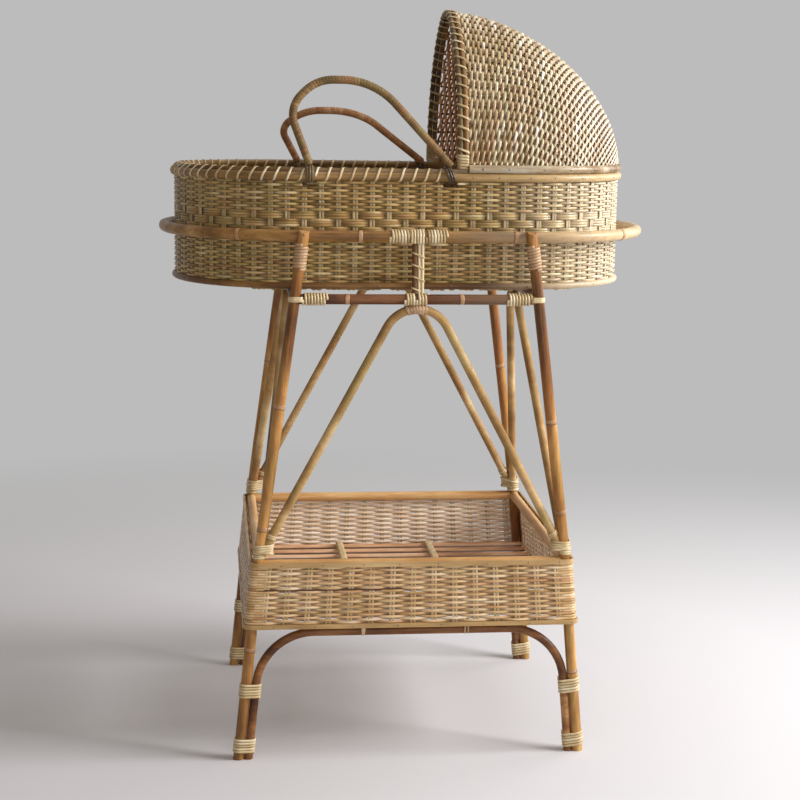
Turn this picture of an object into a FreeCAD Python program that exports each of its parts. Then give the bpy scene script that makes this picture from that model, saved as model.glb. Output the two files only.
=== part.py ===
import FreeCAD, Part
import math
import os

from FreeCAD import Vector

# A woven moses basket with a hood and two carry handles, in a lashed cane stand with a tray.
# Millimetres. X runs along the basket with the hood at +X, the front is at -Y, the floor is at Z = 0.

# Fits and drawing aids
seat_gap = 0.3
overrun = 40.0
straight_share = 1e-6
points_per_edge = 4

# Legs
leg_diameter = 18.5
leg_foot_share = 0.7031
leg_bend_share = 0.6128
leg_ring_share = 0.4513
leg_bend_z = 387.0
leg_bend_radius = 1500.0
leg_outset = 11.5
leg_tip_bevel = 5.0
leg_tip_bevel_degrees = 45.0

# Ring that the basket hangs in
ring_diameter = 19.4
ring_end_room = 27.5
ring_side_room = 31.0
ring_z = 896.0

# Rails under the basket
rail_diameter = 17.0
rail_z = 793.0
side_rail_lift = 3.6

# Struts between ring and long rails
strut_diameter = 8.6
strut_x = -5.0
strut_cane_diameter = 5.4
strut_cane_count = 2

# Bent brace canes
brace_diameter = 14.5
brace_peak_rise = 64.0
brace_foot_z = 352.0

# Bent foot canes
foot_bow_diameter = 14.5
foot_bow_bend_radius = 100.0

# Storage tray
tray_rail_diameter = 17.0
tray_rail_z = 343.0
tray_top_z = 351.0
tray_bottom_z = 233.5
tray_wall_thickness = 3.0
tray_band_thickness = 3.2
tray_band_height = 7.5
tray_top_band_drop = 3.0
tray_bottom_rail_diameter = 10.0
tray_bottom_rail_z = 236.5
slat_diameter = 9.5
slat_count = 13
slat_edge_inset = 24.0
slat_overhang = 4.0
bearer_diameter = 9.0
bearer_places_x = (-80.0, 96.0)
tie_places_x = (-89.0, 87.0)
tie_width = 13.0
tie_thickness = 4.5

# Lashings of peeled cane
strand_width = 3.6
strand_flats = 6
strand_pitch = 5.0
least_strand_gap = 0.4
foot_turns = 5
foot_binding_places_z = (12.0, 110.0)
rail_end_turns = 8
leg_top_turns = 8
leg_top_drop = 4.0
ring_centre_turns = 7

# Basket
basket_x = -9.0
wall_half_length = 393.5
wall_half_width = 208.5
wall_thickness = 5.0
wall_height = 194.0
floor_thickness = 6.0
base_rim_radius = 5.5
rim_outer_radius = 7.0
rim_outer_drop = 7.0
rim_inner_radius = 6.0
rim_inner_lift = 0.5

# Hood
hood_front_share = 0.5243
hood_height = 271.0
hood_thickness = 3.0
hood_crown_power = 2.4
hood_fall_power = 1.6
hood_section_shares = (0.0, 0.2, 0.36, 0.5, 0.62, 0.72, 0.81, 0.88, 0.935, 0.972, 0.997)
arch_pole_diameter = 9.0
hood_slot_width = 5.0
hood_slot_length = 27.0
hood_slot_lean_degrees = 24.0
hood_slot_columns = 11
hood_slot_rows = 6
hood_slot_margin = 14.0

# Carry handles
handle_diameter = 12.3
handle_left_share = -0.9135
handle_right_share = 0.3622
handle_lean_in_degrees = 48.0
handle_loop_thickness = 3.5
handle_loop_width = 8.0
handle_loop_clearance = 0.6
handle_shoulder_x = 35.0
handle_shoulder_z = 91.0
handle_top_z = 138.0
handle_top_left_x = 10.0
handle_top_right_x = 106.0
handle_shoulder_radius = 45.0
handle_crest_radius = 68.0
handle_slope_radius = 120.0
loop_window_clearance = 1.2

# Places that follow from the sizes above
straight_half = wall_half_length - wall_half_width
ring_half_length = wall_half_length + ring_end_room
ring_half_width = wall_half_width + ring_side_room
leg_foot_x = ring_half_length * leg_foot_share
leg_bend_x = ring_half_length * leg_bend_share
leg_ring_x = ring_half_length * leg_ring_share
leg_y = ring_half_width + leg_outset
leg_radius = leg_diameter / 2
ring_radius = ring_diameter / 2
rail_radius = rail_diameter / 2
brace_radius = brace_diameter / 2
foot_cane_radius = foot_bow_diameter / 2
tray_rail_radius = tray_rail_diameter / 2
leg_tip_z = ring_z + ring_radius
side_rail_z = rail_z + side_rail_lift
basket_base_z = side_rail_z + rail_radius + seat_gap
wall_top_z = basket_base_z + wall_height
rim_outer_z = wall_top_z - rim_outer_drop
rim_inner_z = wall_top_z + rim_inner_lift
hood_base_z = wall_top_z + seat_gap
foot_bow_z = tray_bottom_rail_z - tray_bottom_rail_diameter / 2 - seat_gap - foot_cane_radius
slat_z = tray_bottom_rail_z + tray_bottom_rail_diameter / 2 + seat_gap + slat_diameter / 2
X_AXIS = Vector(1, 0, 0)
Y_AXIS = Vector(0, 1, 0)
Z_AXIS = Vector(0, 0, 1)
SIDES = (("front", -1), ("rear", 1))
ENDS = (("left", -1), ("right", 1))


def save(name, *solids):
    """Writes one named piece, made of one or more solids."""
    shape = solids[0] if len(solids) == 1 else Part.makeCompound(list(solids))
    shape.exportStep("parts/" + name + ".step")


def unit(v):
    return v * (1 / v.Length)


def across(along):
    """Two directions square to a line, the first one as level as it can be."""
    first = along.cross(Z_AXIS)
    if first.Length < abs(along.z):
        first = along.cross(X_AXIS)
    first = unit(first)
    return first, unit(along).cross(first)


def round_section(radius, at, along):
    return Part.Wire(Part.Edge(Part.Circle(at, along, radius)))


def strand_section(at, along):
    """A strand of peeled cane, cut with flat sides."""
    u, v = across(along)
    corners = []
    for i in range(strand_flats):
        turn = 2 * math.pi * i / strand_flats
        corners.append(at + (u * math.cos(turn) + v * math.sin(turn)) * (strand_width / 2))
    return Part.makePolygon(corners + corners[:1])


def half_round_section(radius, at, out):
    """Half a split cane, with its flat face upright at the given point."""
    low = at - Z_AXIS * radius
    high = at + Z_AXIS * radius
    return Part.Wire([Part.Arc(low, at + out * radius, high).toShape(),
                      Part.LineSegment(high, low).toShape()])


def sweep(path, section):
    shell = Part.BRepOffsetAPI.MakePipeShell(path)
    shell.add(section)
    shell.build()
    shell.makeSolid()
    return shell.shape()


def arc_through(start, tangent, end):
    """The arc that leaves start along tangent and reaches end."""
    chord = end - start
    side = chord - tangent * chord.dot(tangent)
    if side.Length < chord.Length * straight_share:
        return Part.LineSegment(start, end).toShape()
    half = math.atan2(side.Length, chord.dot(tangent)) / 2
    rise = chord.Length / 2 * math.tan(half)
    toward = unit(unit(side) * -chord.dot(tangent) + tangent * side.Length)
    return Part.Arc(start, (start + end) * 0.5 + toward * rise, end).toShape()


def bent_path(corners, radii):
    """Straight runs through the corners, with a tangent arc of the given radius at each inner one."""
    edges = []
    start = corners[0]
    for before, corner, after, radius in zip(corners, corners[1:], corners[2:], radii):
        into = unit(corner - before)
        out = unit(after - corner)
        reach = radius * math.tan(into.getAngle(out) / 2)
        first = corner - into * reach
        last = corner + out * reach
        edges.append(Part.LineSegment(start, first).toShape())
        edges.append(arc_through(first, into, last))
        start = last
    edges.append(Part.LineSegment(start, corners[-1]).toShape())
    return Part.Wire(edges)


def bent_cane(corners, radii, radius):
    return sweep(bent_path(corners, radii), round_section(radius, corners[0], corners[1] - corners[0]))


def straight_pole(start, end, radius):
    return Part.makeCylinder(radius, (end - start).Length, start, end - start)


def oval_path(half_length, half_width, z, middle_x=0):
    """A closed oval: straight long sides and half-circle ends, begun in the middle of the front."""
    turn_x = half_length - half_width
    edges = []
    ends = ((1, -1), (-1, 1))
    start = Vector(middle_x, -half_width, z)
    for side_x, side_y in ends:
        near = Vector(middle_x + side_x * turn_x, side_y * half_width, z)
        tip = Vector(middle_x + side_x * half_length, 0, z)
        far = Vector(middle_x + side_x * turn_x, -side_y * half_width, z)
        edges.append(Part.LineSegment(start, near).toShape())
        edges.append(arc_through(near, X_AXIS * side_x, tip))
        edges.append(arc_through(tip, Y_AXIS * -side_y, far))
        start = far
    edges.append(Part.LineSegment(start, Vector(middle_x, -half_width, z)).toShape())
    return Part.Wire(edges)


def hood_path(half_length, half_width, z, front_x, middle_x):
    """The hood's end of such an oval, open at the hood's front."""
    turn_x = middle_x + half_length - half_width
    tip = Vector(middle_x + half_length, 0, z)
    near = Vector(turn_x, -half_width, z)
    far = Vector(turn_x, half_width, z)
    return Part.Wire([
        Part.LineSegment(Vector(front_x, -half_width, z), near).toShape(),
        arc_through(near, X_AXIS, tip),
        arc_through(tip, Y_AXIS, far),
        Part.LineSegment(far, Vector(front_x, half_width, z)).toShape(),
    ])


def oval_solid(half_length, half_width, low_z, high_z, middle_x):
    face = Part.Face(oval_path(half_length, half_width, low_z, middle_x))
    return face.extrude(Z_AXIS * (high_z - low_z))


def mirror_y(shape):
    return shape.mirror(Vector(0, 0, 0), Y_AXIS)


def mirror_x(shape):
    return shape.mirror(Vector(0, 0, 0), X_AXIS)


def leg_axis_x(z):
    """How far out a leg's middle line is at a height."""
    if z < leg_bend_z:
        return leg_foot_x + (leg_bend_x - leg_foot_x) * z / leg_bend_z
    return leg_bend_x + (leg_ring_x - leg_bend_x) * (z - leg_bend_z) / (ring_z - leg_bend_z)


def leg_point(side_x, side_y, z):
    return Vector(side_x * leg_axis_x(z), side_y * leg_y, z)


def leg_pole(side_x, side_y, radius):
    corners = [leg_point(side_x, side_y, z) for z in (-overrun, leg_bend_z, leg_tip_z + overrun)]
    along = corners[1] - corners[0]
    return sweep(bent_path(corners, (leg_bend_radius,)), round_section(radius, corners[0], along))


def between_levels(shape, low_z, high_z):
    reach = ring_half_length + overrun
    slab = Part.makeBox(2 * reach, 2 * reach, high_z - low_z, Vector(-reach, -reach, low_z))
    return shape.common(slab)


def biarc(start, start_tangent, end, end_tangent):
    """Two tangent arcs from start to end that keep both end directions."""
    chord = end - start
    both = start_tangent + end_tangent
    spread = 2 * (1 - start_tangent.dot(end_tangent))
    reach_part = chord.dot(both)
    reach = (math.sqrt(reach_part ** 2 + spread * chord.dot(chord)) - reach_part) / spread
    meet = (start + start_tangent * reach + end - end_tangent * reach) * 0.5
    arrive = unit(end - end_tangent * reach - start - start_tangent * reach)
    return [arc_through(start, start_tangent, meet), arc_through(meet, arrive, end)]


def strand_gap(edges, turns):
    """The least clear distance between the turns of one strand, measured on points along it."""
    points = []
    for edge in edges:
        points.extend(edge.discretize(points_per_edge)[:-1])
    half_turn = len(points) // (2 * turns)
    return min((a - b).Length for i, a in enumerate(points) for b in points[i + half_turn:]) - strand_width


def wind(name, stops, axis, turns):
    """One strand led through the stops of each turn, with a straight tail at both ends.

    A stop is a place on the first turn, the heading there, the way to the next stop and whether it bends.
    """
    climb = strand_pitch / sum(way for _, _, way, _ in stops)
    edges = []
    risen = 0
    for i in range(turns * len(stops)):
        place, heading, way, bends = stops[i % len(stops)]
        next_place, next_heading, _, _ = stops[(i + 1) % len(stops)]
        start = place + axis * risen
        risen += climb * way
        end = next_place + axis * risen
        if bends:
            edges += biarc(start, unit(heading + axis * climb), end, unit(next_heading + axis * climb))
        else:
            edges.append(Part.LineSegment(start, end).toShape())
    gap = strand_gap(edges, turns)
    print("least gap between turns of", name, round(gap, 2))
    if gap < least_strand_gap:
        raise ValueError("turns too close: " + name)
    into = unit(stops[0][1] + axis * climb)
    first = edges[0].Vertexes[0].Point
    last = edges[-1].Vertexes[-1].Point
    tail = first - into * strand_width
    edges.insert(0, Part.LineSegment(tail, first).toShape())
    edges.append(Part.LineSegment(last, last + into * strand_width).toShape())
    return sweep(Part.Wire(edges), strand_section(tail, into))


def pole_lashing(name, foot, axis, core_radius, turns):
    """A strand wound round one pole."""
    u, v = across(axis)
    radius = core_radius + seat_gap + strand_width / 2
    half_way = math.pi * radius
    stops = [(foot + u * radius, v, half_way, True), (foot - u * radius, -v, half_way, True)]
    return wind(name, stops, axis, turns)


def pair_lashing(name, foot_a, core_a, foot_b, core_b, axis, turns):
    """A strand wound round two parallel canes."""
    level = foot_b - foot_a
    u = unit(level)
    v = axis.cross(u)
    radius_a = core_a + seat_gap + strand_width / 2
    radius_b = core_b + seat_gap + strand_width / 2
    lean = math.asin((radius_a - radius_b) / level.Length)
    bridge = level.Length * math.cos(lean)
    stops = []
    for foot, radius, middle, half in ((foot_a, radius_a, math.pi, math.pi / 2 + lean),
                                       (foot_b, radius_b, 0, math.pi / 2 - lean)):
        for turn, way, bends in ((middle - half, radius * half, True), (middle, radius * half, True),
                                 (middle + half, bridge, False)):
            place = foot + (u * math.cos(turn) + v * math.sin(turn)) * radius
            stops.append((place, v * math.cos(turn) - u * math.sin(turn), way, bends))
    return wind(name, stops, axis, turns)


os.makedirs("parts", exist_ok=True)

# Ring and legs
ring = sweep(oval_path(ring_half_length, ring_half_width, ring_z),
             round_section(ring_radius, Vector(0, -ring_half_width, ring_z), X_AXIS))
ring_room = sweep(oval_path(ring_half_length, ring_half_width, ring_z),
                  round_section(ring_radius + seat_gap, Vector(0, -ring_half_width, ring_z), X_AXIS))
save("basket_ring", ring)

leg_rooms = []
for side_name, side_y in SIDES:
    for end_name, side_x in ENDS:
        leg = between_levels(leg_pole(side_x, side_y, leg_radius), 0, leg_tip_z)
        tip = leg_point(side_x, side_y, leg_tip_z)
        bevel = Part.makeBox(2 * overrun, overrun, overrun, tip - Vector(overrun, 0, 0))
        bevel.translate(Vector(0, 0, -leg_tip_bevel))
        bevel.rotate(tip, X_AXIS, leg_tip_bevel_degrees)
        bevel.translate(Vector(0, leg_tip_bevel, 0))
        if side_y < 0:
            bevel = bevel.mirror(tip, Y_AXIS)
        save("leg_" + side_name + "_" + end_name, leg.cut(bevel).cut(ring_room))
        leg_rooms.append(leg_pole(side_x, side_y, leg_radius + seat_gap))

# Rails under the basket, with ends hollowed to fit the legs
rail_half = leg_axis_x(rail_z)
side_rail_x = leg_axis_x(side_rail_z)
long_rail_rooms = []
for side_name, side_y in SIDES:
    start = Vector(-rail_half, side_y * leg_y, rail_z)
    end = Vector(rail_half, side_y * leg_y, rail_z)
    save(side_name + "_rail", straight_pole(start, end, rail_radius).cut(leg_rooms))
    long_rail_rooms.append(straight_pole(start, end, rail_radius + seat_gap))
for end_name, side_x in ENDS:
    start = Vector(side_x * side_rail_x, -leg_y, side_rail_z)
    end = Vector(side_x * side_rail_x, leg_y, side_rail_z)
    save(end_name + "_rail", straight_pole(start, end, rail_radius).cut(leg_rooms + long_rail_rooms))

# Struts: one pole with two thin canes beside it
for side_name, side_y in SIDES:
    low = Vector(strut_x, side_y * leg_y, rail_z)
    high = Vector(strut_x, side_y * ring_half_width, ring_z)
    rooms = [ring_room] + long_rail_rooms
    save(side_name + "_strut", straight_pole(low, high, strut_diameter / 2).cut(rooms))
    canes = []
    beside = X_AXIS * ((strut_diameter + strut_cane_diameter) / 2 + seat_gap)
    for i in range(strut_cane_count):
        shift = beside + X_AXIS * (i * (strut_cane_diameter + seat_gap))
        canes.append(straight_pole(low + shift, high + shift, strut_cane_diameter / 2).cut(rooms))
    save(side_name + "_strut_canes", *canes)

# Braces bent under each rail and running down to the legs


def brace_cane(foot_low, foot_high, apex, radius):
    """An inverted V with a round top, in the plane of its two feet and its apex."""
    middle = (foot_low + foot_high) * 0.5
    rise = unit(apex - middle)
    peak = apex + rise * brace_peak_rise
    half = (foot_low - peak).getAngle(middle - peak)
    bend = brace_peak_rise / (1 / math.sin(half) - 1)
    return bent_cane([foot_low, peak, foot_high], (bend,), radius)


brace_rooms = []
for side_name, side_y in SIDES:
    feet = [leg_point(side_x, side_y, brace_foot_z) for side_x in (-1, 1)]
    apex = Vector(0, side_y * leg_y, rail_z - rail_radius - seat_gap - brace_radius)
    save(side_name + "_brace", brace_cane(feet[0], feet[1], apex, brace_radius).cut(leg_rooms))
    brace_rooms.append(brace_cane(feet[0], feet[1], apex, brace_radius + seat_gap))
for end_name, side_x in ENDS:
    feet = [leg_point(side_x, side_y, brace_foot_z) for side_y in (-1, 1)]
    apex_z = side_rail_z - rail_radius - seat_gap - brace_radius
    apex = Vector(side_x * leg_axis_x(apex_z), 0, apex_z)
    brace = brace_cane(feet[0], feet[1], apex, brace_radius)
    save(end_name + "_brace", brace.cut(leg_rooms + brace_rooms))

# Foot bows: beside the legs from the floor, then bent level under the tray
leg_lean = math.atan2(leg_foot_x - leg_bend_x, leg_bend_z)
bow_offset = (leg_radius + seat_gap + foot_cane_radius) / math.cos(leg_lean)
for side_name, side_y in SIDES:
    corners = []
    for side_x in (-1, 1):
        low = Vector(side_x * (leg_axis_x(-overrun) - bow_offset), side_y * leg_y, -overrun)
        high = Vector(side_x * (leg_axis_x(foot_bow_z) - bow_offset), side_y * leg_y, foot_bow_z)
        corners += [low, high] if side_x < 0 else [high, low]
    bow = bent_cane(corners, (foot_bow_bend_radius, foot_bow_bend_radius), foot_cane_radius)
    save(side_name + "_foot_bow", between_levels(bow, 0, tray_bottom_z))

# Tray: rails between the legs, a woven wall outside them, nailed bands and a slatted floor


def tray_outline(z, grow):
    """A level rectangle with round corners that clears the legs at a height."""
    half_x = leg_axis_x(z) + leg_radius + seat_gap + grow
    half_y = leg_y + leg_radius + seat_gap + grow
    corner = leg_radius + seat_gap + grow
    run_x = half_x - corner
    run_y = half_y - corner
    turns = ((run_x, -half_y, X_AXIS, half_x, -run_y), (half_x, run_y, Y_AXIS, run_x, half_y),
             (-run_x, half_y, -X_AXIS, -half_x, run_y), (-half_x, -run_y, -Y_AXIS, -run_x, -half_y))
    edges = []
    start = Vector(-run_x, -half_y, z)
    for near_x, near_y, heading, far_x, far_y in turns:
        near = Vector(near_x, near_y, z)
        far = Vector(far_x, far_y, z)
        edges.append(Part.LineSegment(start, near).toShape())
        edges.append(arc_through(near, heading, far))
        start = far
    return Part.Wire(edges)


def tray_hoop(low_z, high_z, inner_grow, outer_grow):
    outer = Part.makeLoft([tray_outline(low_z, outer_grow), tray_outline(high_z, outer_grow)], True, True)
    inner = Part.makeLoft([tray_outline(low_z, inner_grow), tray_outline(high_z, inner_grow)], True, True)
    return outer.cut(inner)


band_inner = tray_wall_thickness + seat_gap
band_outer = band_inner + tray_band_thickness
top_band_z = tray_top_z - tray_top_band_drop
save("tray_wall", tray_hoop(tray_bottom_z, tray_top_z, 0, tray_wall_thickness))
save("tray_top_band", tray_hoop(top_band_z - tray_band_height, top_band_z, band_inner, band_outer))
save("tray_bottom_band",
     tray_hoop(tray_bottom_z, tray_bottom_z + tray_band_height, band_inner, band_outer))


def leg_to_leg_rails(z, radius):
    """Four poles on one level between the legs: front, rear, left and right."""
    half_x = leg_axis_x(z)
    corners = [Vector(-half_x, -leg_y, z), Vector(half_x, -leg_y, z),
               Vector(half_x, leg_y, z), Vector(-half_x, leg_y, z)]
    pairs = {"front": (0, 1), "rear": (3, 2), "left": (0, 3), "right": (1, 2)}
    rooms = [straight_pole(corners[a], corners[b], radius + seat_gap) for a, b in ((0, 1), (3, 2))]
    rails = {}
    for name, (a, b) in pairs.items():
        cuts = leg_rooms if name in ("front", "rear") else leg_rooms + rooms
        rails[name] = straight_pole(corners[a], corners[b], radius).cut(cuts)
    return rails


for name, rail in leg_to_leg_rails(tray_rail_z, tray_rail_radius).items():
    save("tray_" + name + "_rail", rail)
bottom_rail_radius = tray_bottom_rail_diameter / 2
bottom_rails = leg_to_leg_rails(tray_bottom_rail_z, bottom_rail_radius)
save("tray_bottom_rails", *bottom_rails.values())

slat_half = leg_axis_x(tray_bottom_rail_z) + slat_overhang
slat_reach = leg_y - slat_edge_inset
slats = []
for i in range(slat_count):
    y = slat_reach * (2 * i / (slat_count - 1) - 1)
    slats.append(straight_pole(Vector(-slat_half, y, slat_z), Vector(slat_half, y, slat_z),
                               slat_diameter / 2))
save("tray_floor_slats", *slats)
bearer_z = slat_z - slat_diameter / 2 - seat_gap - bearer_diameter / 2
bearer_half = leg_y - bottom_rail_radius - seat_gap
tie_z = slat_z + slat_diameter / 2 + seat_gap
tie_half = slat_reach + slat_diameter / 2
bearers = []
ties = []
for x in bearer_places_x:
    bearers.append(straight_pole(Vector(x, -bearer_half, bearer_z), Vector(x, bearer_half, bearer_z),
                                 bearer_diameter / 2))
for x in tie_places_x:
    ties.append(Part.makeBox(tie_width, 2 * tie_half, tie_thickness,
                             Vector(x - tie_width / 2, -tie_half, tie_z)))
save("tray_floor_bearers", *bearers)
save("tray_floor_ties", *ties)

# Lashings: round leg and bow at the feet, and round single poles higher up
leg_rise = unit(leg_point(1, 1, leg_bend_z) - leg_point(1, 1, 0))
leg_fall = unit(leg_point(1, 1, leg_bend_z) - leg_point(1, 1, ring_z))
bow_step = X_AXIS * -bow_offset
bow_step = bow_step - leg_rise * bow_step.dot(leg_rise)
foot_bindings = []
for z in foot_binding_places_z:
    at_leg = leg_point(1, 1, z)
    foot_bindings.append(pair_lashing("foot_bindings", at_leg, leg_radius, at_leg + bow_step,
                                      foot_cane_radius, leg_rise, foot_turns))
rail_start = rail_half - leg_radius - seat_gap - strand_width
leg_start = leg_point(1, 1, ring_z - ring_radius - leg_top_drop)
rail_binding = pole_lashing("rail_end_bindings", Vector(rail_start, leg_y, rail_z), -X_AXIS, rail_radius,
                            rail_end_turns)
leg_binding = pole_lashing("leg_top_bindings", leg_start, leg_fall, leg_radius, leg_top_turns)
for name, bindings in (("foot_bindings", foot_bindings), ("rail_end_bindings", [rail_binding]),
                       ("leg_top_bindings", [leg_binding])):
    right = bindings + [mirror_y(binding) for binding in bindings]
    save(name, *right, *[mirror_x(binding) for binding in right])
strut_side = strut_diameter / 2
canes_side = strut_side + strut_cane_count * (strut_cane_diameter + seat_gap)
ring_bindings = []
for heading, beside in ((X_AXIS, canes_side), (-X_AXIS, strut_side)):
    room = beside + strand_width / 2 + 2 * seat_gap
    ring_start = Vector(strut_x, ring_half_width, ring_z) + heading * room
    ring_bindings.append(pole_lashing("ring_centre_bindings", ring_start, heading, ring_radius,
                                      ring_centre_turns))
save("ring_centre_bindings", *ring_bindings, *[mirror_y(binding) for binding in ring_bindings])

# Basket: wall with four loop windows, floor, base rim and the two hoops of the top rim
wall = oval_solid(wall_half_length, wall_half_width, basket_base_z, wall_top_z, basket_x)
wall = wall.cut(oval_solid(wall_half_length - wall_thickness, wall_half_width - wall_thickness,
                           basket_base_z - overrun, wall_top_z + overrun, basket_x))
floor_inset = wall_thickness + seat_gap
basket_floor = oval_solid(wall_half_length - floor_inset, wall_half_width - floor_inset, basket_base_z,
                          basket_base_z + floor_thickness, basket_x)
save("basket_floor", basket_floor)


def wall_hoop(radius, z, offset, out_side):
    """A half-round hoop round the wall, with its split face towards the wall."""
    half_width = wall_half_width + offset
    path = oval_path(wall_half_length + offset, half_width, z, basket_x)
    return sweep(path, half_round_section(radius, Vector(basket_x, -half_width, z), -Y_AXIS * out_side))


save("base_rim", wall_hoop(base_rim_radius, basket_base_z + base_rim_radius, seat_gap, 1))
save("rim_outer_hoop", wall_hoop(rim_outer_radius, rim_outer_z, seat_gap, 1))
save("rim_inner_hoop", wall_hoop(rim_inner_radius, rim_inner_z, -wall_thickness - seat_gap, -1))

# Hood: a shell of upright sections that narrow and fall towards the basket's end
hood_x = basket_x + straight_half * hood_front_share
hood_end = basket_x + wall_half_length
hood_turn_x = basket_x + straight_half


def arch_edges(x, half_width, height, z):
    """Side, crown and side arcs of an upright arch that starts square to the rim."""
    crown = half_width * (half_width / height) ** hood_crown_power
    side = (half_width ** 2 + (height - crown) ** 2 - crown ** 2) / (2 * (half_width - crown))
    sign = 1 if side > crown else -1
    turn = math.atan2(sign * (height - crown), sign * (side - half_width))
    shoulder_y = half_width - side + side * math.cos(turn)
    shoulder_z = z + side * math.sin(turn)
    near = Vector(x, -shoulder_y, shoulder_z)
    far = Vector(x, shoulder_y, shoulder_z)
    heading = Vector(0, math.sin(turn), math.cos(turn))
    leaving = Vector(0, heading.y, -heading.z)
    return [arc_through(Vector(x, -half_width, z), Z_AXIS, near), arc_through(near, heading, far),
            arc_through(far, leaving, Vector(x, half_width, z))]


def hood_fall(share):
    """The hood's height above the rim at a share of its length."""
    return hood_height * math.sqrt(1 - share ** hood_fall_power)


def hood_section(share, inset):
    """The hood's closed outline at a share of its length."""
    x = hood_x + (hood_end - hood_x) * share
    reach = max(x - hood_turn_x, 0)
    half_width = math.sqrt(wall_half_width ** 2 - reach ** 2)
    height = hood_fall(share)
    thin = 1 - inset / wall_half_width
    edges = arch_edges(x - inset * share, half_width * thin, height * thin, hood_base_z)
    edges.append(Part.LineSegment(edges[-1].Vertexes[-1].Point, edges[0].Vertexes[0].Point).toShape())
    return Part.Wire(edges)


hood_outer = Part.makeLoft([hood_section(s, 0) for s in hood_section_shares], True, True)
hood_inner = Part.makeLoft([hood_section(s, hood_thickness) for s in hood_section_shares], True, True)


def hood_slots():
    """Slots between the weavers, through both sides, in columns that lean as the weavers do."""
    lean = math.radians(hood_slot_lean_degrees)
    column_step = (hood_end - hood_x) / hood_slot_columns
    row_step = hood_height / hood_slot_rows
    slots = []
    for i in range(-hood_slot_columns, hood_slot_columns):
        for j in range(hood_slot_rows):
            foot_z = hood_slot_margin + j * row_step
            foot_x = hood_x + i * column_step + foot_z * math.tan(lean)
            top_z = foot_z + hood_slot_length * math.cos(lean)
            top_x = foot_x + hood_slot_length * math.sin(lean)
            if foot_x < hood_x + hood_slot_margin or top_x > hood_end - hood_slot_margin:
                continue
            if top_z > hood_fall((top_x - hood_x) / (hood_end - hood_x)) - hood_slot_margin:
                continue
            foot = Vector(foot_x, 0, hood_base_z + foot_z)
            corner = foot - X_AXIS * (hood_slot_width / 2) - Y_AXIS * wall_half_width
            slot = Part.makeBox(hood_slot_width, 2 * wall_half_width, hood_slot_length, corner)
            slot.rotate(foot, Y_AXIS, hood_slot_lean_degrees)
            slots.append(slot)
    return slots


save("hood_shell", hood_outer.cut(hood_inner).cut(hood_slots()))

rail_level = rim_outer_z + 2 * rim_outer_radius + seat_gap
rail_width = wall_half_width + seat_gap
hood_rail = sweep(hood_path(wall_half_length + seat_gap, rail_width, rail_level, hood_x, basket_x),
                  half_round_section(rim_outer_radius, Vector(hood_x, -rail_width, rail_level), -Y_AXIS))
save("hood_rail", hood_rail)

arch_foot_z = rim_inner_z + rim_inner_radius + seat_gap
arch_rise = hood_base_z + hood_height - arch_foot_z
arch_spread = arch_pole_diameter + seat_gap
for i, name in enumerate(("hood_arch_rear", "hood_arch_front")):
    x = hood_x - seat_gap - arch_pole_diameter / 2 - i * arch_spread
    half_width = wall_half_width - wall_thickness / 2
    path = Part.Wire(arch_edges(x, half_width, arch_rise, arch_foot_z))
    section = round_section(arch_pole_diameter / 2, Vector(x, -half_width, arch_foot_z), Z_AXIS)
    save(name, sweep(path, section))

# Carry handles: loops round the rim, and a bent cane between each pair
loop_axis_y = wall_half_width - wall_thickness / 2
loop_low_z = rim_outer_z - rim_outer_radius
loop_high_z = rim_inner_z + rim_inner_radius
loop_axis_z = (loop_low_z + loop_high_z) / 2
hoop_offset = wall_thickness / 2 + seat_gap
outer_reach = math.hypot(hoop_offset, rim_outer_z - loop_axis_z) + rim_outer_radius
inner_reach = math.hypot(hoop_offset, rim_inner_z - loop_axis_z) + rim_inner_radius
loop_inner = max(outer_reach, inner_reach) + handle_loop_clearance
loop_outer = loop_inner + handle_loop_thickness
handle_ends_x = (basket_x + straight_half * handle_left_share, basket_x + straight_half * handle_right_share)


def handle_corners(y):
    """The handle's bends, from its left loop over the crest and down the long slope."""
    left, right = handle_ends_x
    start_z = loop_axis_z + loop_outer + seat_gap
    return [Vector(left, y, start_z),
            Vector(left - handle_shoulder_x, y, start_z + handle_shoulder_z),
            Vector(left + handle_top_left_x, y, start_z + handle_top_z),
            Vector(left + handle_top_right_x, y, start_z + handle_top_z),
            Vector(right, y, start_z)]


for side_name, side_y in SIDES:
    y = side_y * loop_axis_y
    hinge = Vector(0, y, loop_axis_z)
    loops = []
    for x in handle_ends_x:
        low = Vector(x - handle_loop_width / 2, y, loop_axis_z)
        loop = Part.makeCylinder(loop_outer, handle_loop_width, low, X_AXIS)
        loops.append(loop.cut(Part.makeCylinder(loop_inner, handle_loop_width, low, X_AXIS)))
        window_width = handle_loop_width + 2 * loop_window_clearance
        window_height = handle_loop_thickness + 2 * loop_window_clearance
        window_z = loop_axis_z - loop_outer - loop_window_clearance
        wall = wall.cut(Part.makeBox(window_width, 2 * wall_thickness, window_height,
                                     Vector(x - window_width / 2, y - wall_thickness, window_z)))
    radii = (handle_shoulder_radius, handle_crest_radius, handle_slope_radius)
    handle = bent_cane(handle_corners(y), radii, handle_diameter / 2)
    room = loop_outer + seat_gap
    for x in handle_ends_x:
        handle = handle.cut(Part.makeCylinder(room, 2 * overrun, Vector(x - overrun, y, loop_axis_z), X_AXIS))
    if side_name == "rear":
        handle.rotate(hinge, X_AXIS, handle_lean_in_degrees)
    save(side_name + "_handle", handle)
    save(side_name + "_handle_loops", *loops)
save("basket_wall", wall)
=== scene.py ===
import math

import bpy
import numpy as np
from mathutils import Matrix


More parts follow.
